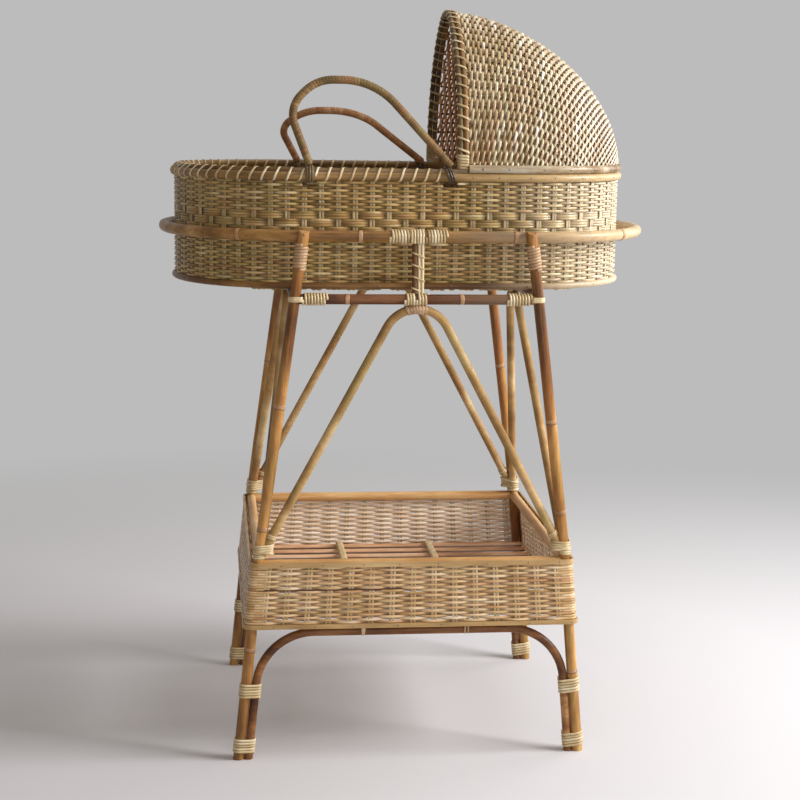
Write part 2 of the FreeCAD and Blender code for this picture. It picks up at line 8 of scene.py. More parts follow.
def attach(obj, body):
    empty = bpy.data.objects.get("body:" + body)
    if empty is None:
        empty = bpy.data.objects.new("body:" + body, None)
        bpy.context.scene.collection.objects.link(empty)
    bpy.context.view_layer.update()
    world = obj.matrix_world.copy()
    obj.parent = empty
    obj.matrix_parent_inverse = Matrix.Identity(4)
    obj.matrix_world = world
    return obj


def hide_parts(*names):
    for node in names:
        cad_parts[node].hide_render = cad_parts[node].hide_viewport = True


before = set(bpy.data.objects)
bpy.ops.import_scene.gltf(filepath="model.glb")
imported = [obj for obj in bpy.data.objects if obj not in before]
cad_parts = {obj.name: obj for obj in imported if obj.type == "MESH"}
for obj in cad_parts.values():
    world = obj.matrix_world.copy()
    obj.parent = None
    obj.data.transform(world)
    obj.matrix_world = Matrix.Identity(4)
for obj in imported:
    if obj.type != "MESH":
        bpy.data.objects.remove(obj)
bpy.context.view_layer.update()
rng = np.random.default_rng(11)

# Sizes shared with the solids, in millimetres: A is half a straight side, W a half width, R a radius
LEG_Y, LEG_R = 251.0, 9.25
LEG_FOOT_X, LEG_BEND_X, LEG_BEND_Z, LEG_RING_X = 296.0, 258.0, 387.0, 190.0
RING_Z, RING_R, RING_A, RING_W = 896.0, 9.7, 181.5, 239.5
RAIL_Z, RAIL_R, SIDE_RAIL_X = 793.0, 8.5, 203.3
TRAY_BOTTOM_Z, TRAY_TOP_Z = 233.5, 351.0
BOW_R, BOW_OFFSET, BOW_Z = 7.25, 16.9, 223.95
BRACE_R, BRACE_FOOT_Z, BRACE_PEAK_Z, BRACE_APEX_Z, BRACE_BEND = 7.25, 352.0, 840.95, 776.95, 57.1
SLAT_Z, SLAT_R, SLAT_REACH = 246.55, 4.75, 227.0
BASKET_X, WALL_A, WALL_MID = -9.0, 185.0, 206.0
BASE_Z, WALL_TOP_Z = 805.4, 999.4
HOOD_X, HOOD_END, HOOD_TURN, HOOD_Z = 88.0, 383.0, 176.0, 999.7
HOOD_W, HOOD_H = 207.0, 269.5
ARCH_X, ARCH_R, ARCH_W, ARCH_Z, ARCH_H = 78.55, 4.5, 206.0, 1006.2, 264.5
LOOP_Z, LOOP_PLACES = 995.65, (-178.0, 58.0)
HANDLE_R, HANDLE_LEAN = 6.15, 48.0
SIDES = (-1, 1)
MM = 0.001


def unit(v):
    v = np.asarray(v, float)
    return v / np.maximum(np.linalg.norm(v, axis=-1, keepdims=True), 1e-12)


def lengths(path):
    """The way along a path to each of its points."""
    return np.concatenate([[0], np.cumsum(np.linalg.norm(np.diff(path, axis=0), axis=1))])


def along_line(t, reach, values):
    """Points or directions at some ways along a line."""
    return np.stack([np.interp(t, reach, column) for column in values.T], -1)


def ring_profile(count, power, start=0.0):
    """A closed section from round, at power 1, to a strip with rounded edges."""
    turn = np.arange(count) / count * 2 * np.pi + start
    c, s = np.cos(turn), np.sin(turn)
    return np.stack([np.sign(c) * abs(c) ** power, np.sign(s) * abs(s) ** power], 1)


ROUND = ring_profile(6, 1.0)
STRIP = ring_profile(8, 0.6, math.pi / 8)
FINE = ring_profile(10, 1.0)
# Tip scale of open strands; the second is painted shade on the flanks of woven strands
TIP_SCALE, FLANK_SHADE = 0.02, 0.4
UV_SPREAD, UV_ROUND = 90, 0.25
HEAD_STEPS, HEAD_SIZES = np.array([-0.3, 0.25, 0.7, 1.0]), np.array([1.0, 1.0, 0.75, 0.2])


class Strands:
    """Swept strands and small heads, gathered in millimetres into one piece."""

    def __init__(self):
        self.points, self.quads, self.uvs = [], [], []
        self.inner, self.deep, self.total = [], [], 0

    def sweep(self, path, out, width, thick, closed=False, profile=STRIP, over=0.0):
        """One strand along a path; over runs from 1, on top, to -1, beneath, as seen from outside."""
        path = np.asarray(path, float)
        count = len(path)
        out = np.broadcast_to(np.asarray(out, float), (count, 3))
        width, thick, over = (np.broadcast_to(np.asarray(v, float), (count,)) for v in (width, thick, over))
        reach = lengths(path)
        if closed:
            along = np.roll(path, -1, 0) - np.roll(path, 1, 0)
            order = np.append(np.arange(count), 0)
            reach = np.append(reach, reach[-1] + np.linalg.norm(path[0] - path[-1]))
        else:
            along = np.gradient(path, axis=0)
            order = np.concatenate([[0], np.arange(count), [count - 1]])
            reach = np.concatenate([[0], reach, [reach[-1]]])
        along = unit(along)
        side = unit(np.cross(along, out))
        up = np.cross(side, along)
        scale = np.ones(len(order))
        if not closed:
            scale[[0, -1]] = TIP_SCALE
        path, side, up = path[order], side[order], up[order]
        width, thick = width[order] * scale / 2, thick[order] * scale / 2
        rings = (path[:, None] + side[:, None] * (profile[None, :, :1] * width[:, None, None])
                 + up[:, None] * (profile[None, :, 1:] * thick[:, None, None]))
        m = len(profile)
        i, k = np.meshgrid(np.arange(len(order) - 1), np.arange(m), indexing="ij")
        i, k = i.ravel(), k.ravel()
        k2 = (k + 1) % m
        quads = np.stack([i * m + k, i * m + k2, (i + 1) * m + k2, (i + 1) * m + k], 1)
        shift_u, shift_v = rng.random(2) * UV_SPREAD
        u = reach * MM + shift_u
        v = np.arange(m + 1) / m * UV_ROUND + shift_v
        uv = np.stack([np.stack([u[i], v[k]], 1), np.stack([u[i], v[k + 1]], 1),
                       np.stack([u[i + 1], v[k + 1]], 1), np.stack([u[i + 1], v[k]], 1)], 1)
        # Painted shade: darker where the strand dives under, and on the flanks of woven strands
        rise = profile[None, :, 1]
        deep = np.clip(-over[order][:, None] * rise, 0, 1) + FLANK_SHADE * (1 - abs(rise)) * np.any(over)
        self.inner.append((k + 0.5) / m > 0.5)
        self.deep.append(deep.ravel())
        self.points.append(rings.reshape(-1, 3))
        self.quads.append(quads + self.total)
        self.uvs.append(uv.reshape(-1, 2))
        self.total += len(rings) * m

    def head(self, at, out, radius, rise):
        """A domed nail head that stands on a surface."""
        at, out = np.asarray(at, float), unit(out)
        across = unit(np.cross(out, (0.31, 0.52, 0.79)))
        size = 2 * radius * HEAD_SIZES
        self.sweep(at + out * rise * HEAD_STEPS[:, None], across, size, size, profile=FINE)

    def piece(self, name, body, material, slot, stands_for=(), inside=None):
        """Makes the mesh, with another material on the strands' inner halves if one is given."""
        mesh = bpy.data.meshes.new(name)
        points = np.concatenate(self.points) * MM
        quads = np.concatenate(self.quads)
        mesh.vertices.add(len(points))
        mesh.vertices.foreach_set("co", points.astype(np.float32).ravel())
        mesh.loops.add(quads.size)
        mesh.loops.foreach_set("vertex_index", quads.astype(np.int32).ravel())
        mesh.polygons.add(len(quads))
        mesh.polygons.foreach_set("loop_start", np.arange(0, quads.size, 4, dtype=np.int32))
        mesh.polygons.foreach_set("use_smooth", np.ones(len(quads), bool))
        layer = mesh.uv_layers.new(name="UVMap")
        layer.data.foreach_set("uv", np.concatenate(self.uvs).astype(np.float32).ravel())
        # The painted shade goes to the material as a point attribute
        deep = mesh.attributes.new("deep", "FLOAT", "POINT")
        deep.data.foreach_set("value", np.concatenate(self.deep).astype(np.float32))
        mesh.update()
        mesh.materials.append(material)
        if inside:
            mesh.materials.append(inside)
            mesh.polygons.foreach_set("material_index", np.concatenate(self.inner).astype(np.int32))
        obj = bpy.data.objects.new(name, mesh)
        bpy.context.scene.collection.objects.link(obj)
        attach(obj, body)
        if stands_for:
            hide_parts(*stands_for)


# Parts of materials

def tone(r, g, b):
    """A colour from 0 to 255 as linear light."""
    shares = (c / 255 for c in (r, g, b))
    return tuple(c / 12.92 if c < 0.04045 else ((c + 0.055) / 1.055) ** 2.4 for c in shares) + (1.0,)


def feed(tree, node, given):
    """Sets inputs of a node, by name or place, to plain values or to outputs of other nodes."""
    for name, value in given.items():
        if isinstance(value, bpy.types.NodeSocket):
            tree.links.new(value, node.inputs[name])
        else:
            node.inputs[name].default_value = value


def add(tree, kind, given, **settings):
    node = tree.nodes.new(kind)
    for name, value in settings.items():
        setattr(node, name, value)
    feed(tree, node, given)
    return node


def ranged(tree, value, given, wanted=(0.0, 1.0)):
    """A value taken from one range to another and held at the ends."""
    ends = dict(zip(("From Min", "From Max", "To Min", "To Max"), (*given, *wanted)))
    return add(tree, "ShaderNodeMapRange", {"Value": value, **ends}).outputs["Result"]


def joined(tree, a, b, operation="MULTIPLY"):
    return add(tree, "ShaderNodeMath", {0: a, 1: b}, operation=operation).outputs["Value"]


def axis(tree, vector, name):
    return add(tree, "ShaderNodeSeparateXYZ", {"Vector": vector}).outputs[name]


def ramp(tree, value, stops):
    """Colours at places along a value; gives the outputs for colour and alpha."""
    node = add(tree, "ShaderNodeValToRGB", {"Fac": value})
    marks = node.color_ramp.elements
    marks[0].position, marks[1].position = stops[0][0], stops[-1][0]
    marks[0].color, marks[1].color = stops[0][1], stops[-1][1]
    for place, colour in stops[1:-1]:
        marks.new(place).color = colour
    return node.outputs


def tinted(tree, base, tint, amount, blend="MIX"):
    given = {"A": base, "B": tint, "Factor": amount}
    return add(tree, "ShaderNodeMix", given, data_type="RGBA", blend_type=blend).outputs["Result"]


# Scales of the broad streaks and the fine fibres along each direction
ALONG_UV = ((7, 1, 1), (70, 45, 1))
UPRIGHT = ((22, 22, 5), (260, 260, 14))
LENGTHWISE = ((5, 22, 22), (14, 260, 260))
CROSSWISE = ((22, 5, 22), (260, 14, 260))
ANYWAY = ((12, 12, 12), (120, 120, 120))
BRACE_GRAIN = ((9, 9, 9), (40, 40, 40))
LEATHER_GRAIN = ((30, 2, 1), (180, 60, 1))
STEEL_GRAIN = ((400, 2, 1), (900, 60, 1))

TONE_RANGE = (0.3, 0.7)
ACCENT_PLACES, ACCENT_AMOUNTS, ACCENT_SHIFT = (0.36, 0.47, 0.53, 0.64), (0.4, 0.0, 0.0, 0.4), 31.7
FIBRE_RANGE, FIBRE_SHADE, FIBRE_DEPTH = (0.3, 0.7), (0.82, 1.08), 0.0006
# Normals that count as facing down, for painted shade on undersides
UNDERSIDE_SHADE_RANGE = (-0.35, 0.2)


def cane(name, tones, lines=ALONG_UV, rough=(0.3, 0.48), coat=0.3, bump=0.25, by="UV",
         accents=None, zones=None, pale=None, recess_shade_tone=0.42, under=None):
    """Cane whose tone drifts along its length, with fine fibres for gloss and relief.

    Accents are a green and a red drift, and zones are tints at heights along upright canes.
    Pale is a tone that the cane nears along X, towards the lamp's side, as painted light: the tone, where
    that starts and ends, and how far it goes.
    Dip is the tone left where a strand dives under and on its flanks, as painted shade, and under the tone
    left on sides that face down, also painted shade.
    """
    mat = bpy.data.materials.new(name)
    mat.use_nodes = True
    tree = mat.node_tree
    where = tree.nodes.new("ShaderNodeTexCoord")

    def noise(scale, detail, roughness, shift=0.0):
        fit = add(tree, "ShaderNodeMapping",
                  {"Vector": where.outputs[by], "Scale": scale, "Location": (shift, shift, shift)})
        given = {"Vector": fit.outputs["Vector"], "Scale": 1.0, "Detail": detail, "Roughness": roughness}
        return add(tree, "ShaderNodeTexNoise", given).outputs["Fac"]

    streak, fibre = lines
    broad = noise(streak, detail=5.0, roughness=0.62)
    fine = noise(fibre, detail=3.0, roughness=0.5)
    places = np.linspace(*TONE_RANGE, len(tones))
    base = ramp(tree, broad, [(place, tone(*c)) for place, c in zip(places, tones)])["Color"]
    if accents:
        colours = [tone(*c)[:3] for c in accents for _ in range(2)]
        stops = [(place, (*c, amount)) for place, c, amount in zip(ACCENT_PLACES, colours, ACCENT_AMOUNTS)]
        blot = ramp(tree, noise(streak, detail=2.0, roughness=0.5, shift=ACCENT_SHIFT), stops)
        base = tinted(tree, base, blot["Color"], blot["Alpha"])
    if zones:
        tints = ramp(tree, axis(tree, where.outputs[by], "Z"), [(z, tone(*c)) for z, c in zones])
        base = tinted(tree, base, tints["Color"], 1.0, "MULTIPLY")
    # Painted light: paler towards +X, where the window lamp falls
    if pale:
        colour, start, end, most = pale
        grow = ranged(tree, axis(tree, where.outputs["Object"], "X"), (start, end), (0.0, most))
        base = tinted(tree, base, tone(*colour), grow)
    # Painted shade where a strand dives under and on its flanks
    deep = add(tree, "ShaderNodeAttribute", {}, attribute_name="deep").outputs["Fac"]
    shade = joined(tree, ranged(tree, fine, FIBRE_RANGE, FIBRE_SHADE), ranged(tree, deep, (0, 1), (1, recess_shade_tone)))
    # Painted shade on sides that face down
    if under:
        facing = ranged(tree, axis(tree, where.outputs["Normal"], "Z"), UNDERSIDE_SHADE_RANGE, (under, 1))
        shade = joined(tree, shade, facing)
    relief = add(tree, "ShaderNodeBump", {"Strength": bump, "Distance": FIBRE_DEPTH, "Height": fine})
    feed(tree, tree.nodes["Principled BSDF"], {
        "Base Color": tinted(tree, base, shade, 1.0, "MULTIPLY"),
        "Roughness": ranged(tree, fine, (0, 1), rough), "Normal": relief.outputs["Normal"],
        "Specular IOR Level": 0.25, "Coat Weight": coat, "Coat Roughness": 0.18})
    return mat


# Materials of the woven and wound pieces
DULL = dict(rough=(0.5, 0.68), coat=0.05)
# Painted light on the lit +X end: the paler tone, where it starts and ends, and how far it goes
LIT_END = ((246, 238, 216), 0.1, 0.4, 0.45)
wall_cane = cane("wall_wicker", [(104, 74, 34), (152, 118, 62), (188, 156, 96), (228, 206, 162)], coat=0.45,
                 accents=((132, 122, 66), (176, 126, 84)), pale=LIT_END)
stake_cane = cane("stake_wicker", [(132, 106, 64), (176, 150, 102), (210, 190, 146)], pale=LIT_END)
# The hood's right side turns paler and greyer as a painted highlight
hood_cane = cane("hood_wicker", [(106, 78, 40), (164, 134, 86), (210, 192, 154), (250, 246, 236)], coat=0.6,
                 accents=((156, 146, 92), (192, 144, 102)), pale=((234, 233, 226), 0.16, 0.38, 0.35))
hood_inside = cane("hood_wicker_inside", [(184, 120, 70), (220, 160, 106), (240, 192, 142)], recess_shade_tone=0.65)
# The ribs are darker than the weavers as painted shade, for the recesses they lie in
hood_rib_cane = cane("hood_ribs", [(84, 56, 30), (120, 88, 52), (150, 118, 74)])
tray_cane = cane("tray_wicker", [(152, 110, 62), (196, 156, 104), (222, 190, 146), (240, 220, 190)],
                 accents=((170, 146, 90), (190, 134, 98)))
# The inner halves are paler: partly the split side's own colour, partly painted light where the tray's inside
# lies in shade
tray_inside = cane("tray_wicker_inside", [(228, 192, 156), (246, 222, 194), (252, 240, 222)], recess_shade_tone=0.85)
tray_stake_cane = cane("tray_stakes", [(180, 146, 96), (214, 186, 138), (236, 216, 178)])
lash_cane = cane("lashing_cane", [(166, 138, 94), (204, 180, 136), (232, 218, 188)])
tan_cane = cane("leg_wrap_cane", [(142, 106, 74), (182, 146, 110), (212, 182, 148)])
arch_cane = cane("arch_wrap_cane", [(146, 120, 80), (186, 162, 118), (220, 202, 166)])
# The front wrap is darker than the rear one as painted shade, the front handle lying on the shaded side
front_wrap_cane = cane("front_handle_wrap", [(86, 64, 36), (118, 91, 54), (150, 120, 78)], **DULL,
                       accents=((116, 106, 58), (156, 102, 62)))
rear_wrap_cane = cane("rear_handle_wrap", [(134, 90, 56), (172, 122, 82), (206, 160, 116)], **DULL)
loop_tan = cane("loop_cane", [(72, 56, 30), (106, 86, 52), (142, 120, 80)])
leather = cane("loop_leather", [(42, 30, 20), (72, 54, 38), (110, 90, 68)], LEATHER_GRAIN, (0.22, 0.4))
node_cane = cane("cane_nodes", [(92, 52, 30), (118, 72, 42), (142, 92, 58)])
sheath_cane = cane("cane_sheaths", [(146, 104, 68), (170, 128, 88), (194, 154, 114)])
steel = cane("nail_steel", [(84, 80, 78), (120, 116, 112), (150, 146, 142)], STEEL_GRAIN, (0.25, 0.4))
steel.node_tree.nodes["Principled BSDF"].inputs["Metallic"].default_value = 0.85


# Lines that the woven pieces follow

def leg_x(z):
    z = np.asarray(z, float)
    low = LEG_FOOT_X + (LEG_BEND_X - LEG_FOOT_X) * z / LEG_BEND_Z
    high = LEG_BEND_X + (LEG_RING_X - LEG_BEND_X) * (z - LEG_BEND_Z) / (RING_Z - LEG_BEND_Z)
    return np.where(z < LEG_BEND_Z, low, high)


def oval(length, radius, z, straight=WALL_A, middle=WALL_MID, x=BASKET_X):
    """Points and outward directions round an oval, from its front left along the front to +X."""
    turn = math.pi * middle
    s = np.mod(length, 4 * straight + 2 * turn)
    arc_right = (s - 2 * straight) / middle - math.pi / 2
    arc_left = (s - 4 * straight - turn) / middle + math.pi / 2
    parts = [s < 2 * straight, s < 2 * straight + turn, s < 4 * straight + turn]
    cx = np.select(parts, [s - straight, straight + 0 * s, 3 * straight + turn - s], -straight)
    angle = np.select(parts, [-math.pi / 2 + 0 * s, arc_right, math.pi / 2 + 0 * s], arc_left)
    out = np.stack([np.cos(angle), np.sin(angle), 0 * s], -1)
    at = out * np.broadcast_to(radius, s.shape)[..., None]
    return at + np.stack([x + cx, 0 * s, 0 * s + z], -1), out


OVAL_LENGTH = 4 * WALL_A + 2 * math.pi * WALL_MID


def front_length(x):
    """The way round the basket's oval to a place on its front."""
    return x - BASKET_X + WALL_A


def rear_length(x):
    """The way round the basket's oval to a place on its rear."""
    return 3 * WALL_A + math.pi * WALL_MID - (x - BASKET_X)


def band_round(circles, grow, count=20):
    """A band drawn tight round some circles: even points and outward directions, in the plane."""
    turn = np.linspace(0, 2 * np.pi, 96, endpoint=False)
    heads = np.stack([np.cos(turn), np.sin(turn)], 1)
    dots = np.concatenate([np.array([x, y]) + (r + grow) * heads for x, y, r in circles])
    pick = np.argmax(dots @ heads.T, axis=0)
    hull = dots[pick[np.flatnonzero(np.diff(pick, prepend=pick[-1]))]]
    hull = np.vstack([hull, hull[:1]])
    reach = lengths(hull)
    band = along_line(np.linspace(0, reach[-1], count, endpoint=False), reach, hull)
    along = np.roll(band, -1, 0) - np.roll(band, 1, 0)
    return band, unit(np.stack([along[:, 1], -along[:, 0]], 1))


def straight_place(foot, along, across):
    """Maps a section's plane and the way along a straight pole to points."""
    foot, along, across = np.asarray(foot, float), unit(along), unit(across)
    third = np.cross(along, across)
    return lambda a, b, t: (foot + np.multiply.outer(a, across) + np.multiply.outer(b, third)
                            + np.multiply.outer(t, along))


def wind(strands, place, band, start, pitch, turns, width, thick, profile=STRIP):
    """One unbroken strand wound round a band, moving on by the pitch at each turn."""
    points, outs = band
    steps = np.arange(int(round(turns * len(points))) + 1)
    at, out = points[steps % len(points)], outs[steps % len(points)]
    travel = start + pitch * steps / len(points)
    path = place(at[:, 0], at[:, 1], travel)
    away = place(at[:, 0] + out[:, 0], at[:, 1] + out[:, 1], travel) - path
    strands.sweep(path, away, width, thick, profile=profile)


def wave(x, square=0.65):
    """Goes over and under, lingering on top and beneath."""
    c = np.cos(np.pi * x)
    return np.sign(c) * abs(c) ** square


def drift(count, size, waves):
    """A slow seeded wander along a strand."""
    t = np.linspace(0, 2 * np.pi, count, endpoint=False)
    return size * sum(np.sin(t * w + rng.random() * 6.3) for w in waves) / len(waves)


# Basket wall: paired flat stakes, close single weave and a band of triple weave
STAKES, FIRST_STAKE, STAKE_OFFSET = 72, 7.85, 2.2
STAKE_PITCH = OVAL_LENGTH / STAKES
WEAVER_THICK, WEAVER_SQUARE, WEAVER_STEPS = 3.0, 0.85, 8
LOOP_SHIFT, LOOP_ROOM, STAKE_LOOP_ROOM, STAKE_LOOP_DROP, WEAVER_LOOP_DROP = 1.5, 12, 16, 22, 20
passes = (LOOP_PLACES[0], LOOP_PLACES[1] - LOOP_SHIFT)
loop_lengths = [front_length(x) for x in passes] + [rear_length(x) for x in reversed(passes)]
stakes = Strands()
for j in range(STAKES):
    for side in (-STAKE_OFFSET, STAKE_OFFSET):
        spot = FIRST_STAKE + j * STAKE_PITCH + side
        by_loop = min(abs(spot - loop) for loop in loop_lengths) < STAKE_LOOP_ROOM
        levels = np.linspace(BASE_Z + 1, LOOP_Z - STAKE_LOOP_DROP if by_loop else WALL_TOP_Z - 1, 7)
        at, out = oval(spot + drift(len(levels), 0.5, (1, 2)), WALL_MID, levels)
        stakes.sweep(at, out, width=4.6, thick=1.8)
stakes.piece("basket_wall_stakes", "basket", stake_cane, "basket_weave", ["basket_wall"])

# Each group of courses: its first height, step and count, the courses that go alike, and the first phase
COURSES = ((817.4, 4.5, 18, 1, 0), (898.2, 4.35, 9, 3, 0), (937.4, 4.5, 11, 1, 1))
weave = Strands()
courses = [(first + step * i, (i // alike + phase) % 2)
           for first, step, count, alike, phase in COURSES for i in range(count)]
for z, phase in courses:
    spans = [(0.0, OVAL_LENGTH)]
    if z > LOOP_Z - WEAVER_LOOP_DROP:
        ends = loop_lengths + [loop_lengths[0] + OVAL_LENGTH]
        spans = [(a + LOOP_ROOM, b - LOOP_ROOM) for a, b in zip(ends, ends[1:])]
    whole = len(spans) == 1
    for a, b in spans:
        count = int((b - a) / STAKE_PITCH * WEAVER_STEPS)
        s = np.linspace(a, b, count, endpoint=not whole)
        over = wave((s - FIRST_STAKE) / STAKE_PITCH + phase, WEAVER_SQUARE)
        at, out = oval(s, WALL_MID + WEAVER_THICK * over, z + drift(count, 0.35, (3, 7, 13)))
        weave.sweep(at, out, 4.8 + drift(count, 0.3, (9, 17)), WEAVER_THICK, whole, FINE, over)
weave.piece("basket_wall_weave", "basket", wall_cane, "basket_weave", ["basket_wall"])

# Basket floor: strips along the basket, over and under cross stakes
FLOOR_R, FLOOR_Z, FLOOR_THICK = 202.5, BASE_Z + 3, 1.5
FLOOR_STAKES, FLOOR_STRIPS, FLOOR_STRIP_PITCH = 12, 25, 8.0
floor_weave = Strands()
for j in range(-FLOOR_STAKES, FLOOR_STAKES + 1):
    x = j * STAKE_PITCH
    y = np.linspace(-1, 1, 9) * math.sqrt(max(FLOOR_R ** 2 - max(abs(x) - WALL_A, 0) ** 2, 0))
    path = np.stack([0 * y + BASKET_X + x, y, 0 * y + FLOOR_Z], 1)
    floor_weave.sweep(path, (0, 0, 1), width=7.5, thick=FLOOR_THICK)
for i in range(-FLOOR_STRIPS, FLOOR_STRIPS + 1):
    y = i * FLOOR_STRIP_PITCH
    half = WALL_A + math.sqrt(FLOOR_R ** 2 - y ** 2)
    x = np.arange(-half, half, STAKE_PITCH / 6)
    z = FLOOR_Z + FLOOR_THICK * wave(x / STAKE_PITCH + i)
    floor_weave.sweep(np.stack([BASKET_X + x, 0 * x + y, z], 1), (0, 0, 1), width=7.4, thick=FLOOR_THICK)
floor_weave.piece("basket_floor_weave", "basket", wall_cane, "basket_weave", ["basket_floor"])


# Hood: leaning weavers over ribs that follow its top line

def arch_parts(half_width, height):
    """Radii of an arch's crown and sides, and the turn at which they meet."""
    crown = half_width * (half_width / height) ** 2.4
    crown = np.where(abs(crown - half_width) < 1e-3, half_width * 1.001, crown)
    side = (half_width ** 2 + (height - crown) ** 2 - crown ** 2) / (2 * (half_width - crown))
    sign = np.where(side > crown, 1, -1)
    return crown, side, np.arctan2(sign * (height - crown), sign * (side - half_width))


def hood_height(x):
    share = np.clip((x - HOOD_X) / (HOOD_END - HOOD_X), 0, 1)
    return HOOD_H * np.sqrt(np.maximum(1 - share ** 1.6, 1e-6))


def hood_half_width(x, z):
    """The hood's half width at a place along it and a height above the rim."""
    w = np.sqrt(np.maximum(HOOD_W ** 2 - np.maximum(x - HOOD_TURN, 0) ** 2, 1e-6))
    h = hood_height(x)
    crown, side, turn = arch_parts(w, h)
    low = w - side + np.sqrt(np.maximum(side ** 2 - z ** 2, 0))
    high = np.sqrt(np.maximum(crown ** 2 - (z - h + crown) ** 2, 0))
    return np.where(z < side * np.sin(turn), low, high)


def even_line(path, step):
    """The same line with even steps."""
    reach = lengths(path)
    even = np.linspace(0, reach[-1], max(int(reach[-1] / step), 4))
    return along_line(even, reach, path), even


HOOD_FIRST, HOOD_PITCH, HOOD_STEP, HOOD_LEAST = -40.0, 4.55, 2.6, 6
HOOD_LEAN, HOOD_LEAN_GAIN = 9, 23
RIB_PITCH, RIB_PITCH_LOSS = 18, 6
HOOD_WIDTH, HOOD_THICK, HOOD_FAN = 4.75, 2.6, 0.0007
HOOD_CENTRE = np.array([150.0, 0, HOOD_Z - 40])
RAIL_RUN = HOOD_TURN - HOOD_X
HOOD_RUN = RAIL_RUN + HOOD_W * 1.5
lines = []
for k, run in enumerate(np.arange(HOOD_FIRST, HOOD_RUN, HOOD_PITCH)):
    turn = max(run - RAIL_RUN, 0) / HOOD_W
    foot_x = HOOD_X + min(run, RAIL_RUN) + HOOD_W * math.sin(turn)
    lean = math.tan(math.radians(HOOD_LEAN + HOOD_LEAN_GAIN * max(run, 0) / HOOD_RUN))
    low, high = 0.0, HOOD_H
    for _ in range(40):
        middle = (low + high) / 2
        low, high = (middle, high) if hood_height(foot_x + middle * lean) > middle else (low, middle)
    start = max(0.0, (HOOD_X + 1 - foot_x) / lean)
    if low - start < HOOD_LEAST:
        continue
    z = start + (low - start) * np.sin(np.linspace(0, np.pi / 2, 240))
    x = foot_x + z * lean
    half = np.stack([x, -hood_half_width(x, z), z + HOOD_Z], 1)
    half[-1, 1] = 0
    line, reach = even_line(half, HOOD_STEP)
    lines.append((k, line, reach[-1] - reach, RIB_PITCH - RIB_PITCH_LOSS * max(run, 0) / HOOD_RUN))

hood = Strands()
ribs = {}
for k, line, down, rib_pitch in lines:
    path = np.vstack([line, (line * (1, -1, 1))[-2::-1]])
    way = np.concatenate([down, -down[-2::-1]])
    out = unit(path - HOOD_CENTRE)
    over = wave(way / rib_pitch + k, 0.9)
    width = HOOD_WIDTH * (1 + HOOD_FAN * (path[:, 2] - HOOD_Z)) + drift(len(path), 0.3, (5, 9))
    hood.sweep(path + out * (HOOD_THICK * over)[:, None], out, width, HOOD_THICK, profile=FINE, over=over)
    for j in range(int(down[0] / rib_pitch) + 1):
        ribs.setdefault(j, []).append(along_line(-j * rib_pitch, -down, line))
hood.piece("hood_weave", "basket", hood_cane, "hood_weave", ["hood_shell"], hood_inside)
rib_strands = Strands()
for j, places in ribs.items():
    for side in SIDES if j else (1,):
        path = np.array(places) * (1, side, 1)
        if len(path) > 3:
            rib_strands.sweep(path, unit(path - HOOD_CENTRE), width=4.6, thick=1.5)
rib_strands.piece("hood_ribs", "basket", hood_rib_cane, "hood_weave", ["hood_shell"])

# Rim lashing round both hoops, clear of the loops
RIM_HOOPS = ((208.8, 992.4, 7.0), (203.2, 999.9, 6.0))
RIM_PITCH, LEFT_ROOM, RIGHT_ROOM = 20.5, 9, 14
rim_lash = Strands()
rim_band = band_round(RIM_HOOPS, 0.6, 24)
front_left, front_right, rear_right, rear_left = loop_lengths


def rim_place(a, b, t):
    return oval(t, a, b)[0]


for a, b in ((front_left + LEFT_ROOM, front_right - RIGHT_ROOM),
             (rear_right + RIGHT_ROOM, rear_left - LEFT_ROOM),
             (rear_left + LEFT_ROOM, front_left + OVAL_LENGTH - LEFT_ROOM)):
    wind(rim_lash, rim_place, rim_band, a, RIM_PITCH, (b - a) / RIM_PITCH, width=3.7, thick=1.4)
rim_lash.piece("rim_lashing", "basket", lash_cane, "binding_cane")


# Lashing of the two arch poles, close at the feet

def arch_line(half_width, height):
    """Points, outward directions and lengths of an upright arch from the front foot to the rear."""
    crown, side, turn = (float(v) for v in arch_parts(half_width, height))
    low, high = np.linspace(0, turn, 120), np.linspace(turn, math.pi / 2, 120)
    y = np.concatenate([half_width - side + side * np.cos(low), crown * np.cos(high)[1:]])
    z = np.concatenate([side * np.sin(low), height - crown + crown * np.sin(high)[1:]])
    path = np.stack([0 * y, -y, z], 1)
    path = np.vstack([path, (path * (1, -1, 1))[-2::-1]])
    line, reach = even_line(path, 2.0)
    along = unit(np.gradient(line, axis=0))
    return line, np.stack([0 * reach, -along[:, 2], along[:, 1]], 1), reach


arch_at, arch_out, arch_reach = arch_line(ARCH_W, ARCH_H)


def arch_place(a, b, t):
    spot = along_line(t, arch_reach, arch_at)
    away = unit(along_line(t, arch_reach, arch_out))
    return spot + away * np.asarray(b)[..., None] + np.stack([ARCH_X + a, 0 * a, 0 * a + ARCH_Z], -1)


ARCH_OFFSET, ARCH_START, ARCH_PITCH, ARCH_FOOT_LENGTH = 4.65, 26, 18.5, 25
arch_lash = Strands()
arch_band = band_round([(-ARCH_OFFSET, 0, ARCH_R), (ARCH_OFFSET, 0, ARCH_R)], 0.7, 16)
arch_total = arch_reach[-1]
for start in (1.0, arch_total - ARCH_FOOT_LENGTH):
    wind(arch_lash, arch_place, arch_band, start, pitch=4.8, turns=5, width=4.4, thick=1.4)
wind(arch_lash, arch_place, arch_band, ARCH_START, ARCH_PITCH, (arch_total - 2 * ARCH_START) / ARCH_PITCH,
     width=3.6, thick=1.4)
arch_lash.piece("arch_lashing", "basket", arch_cane, "binding_cane")

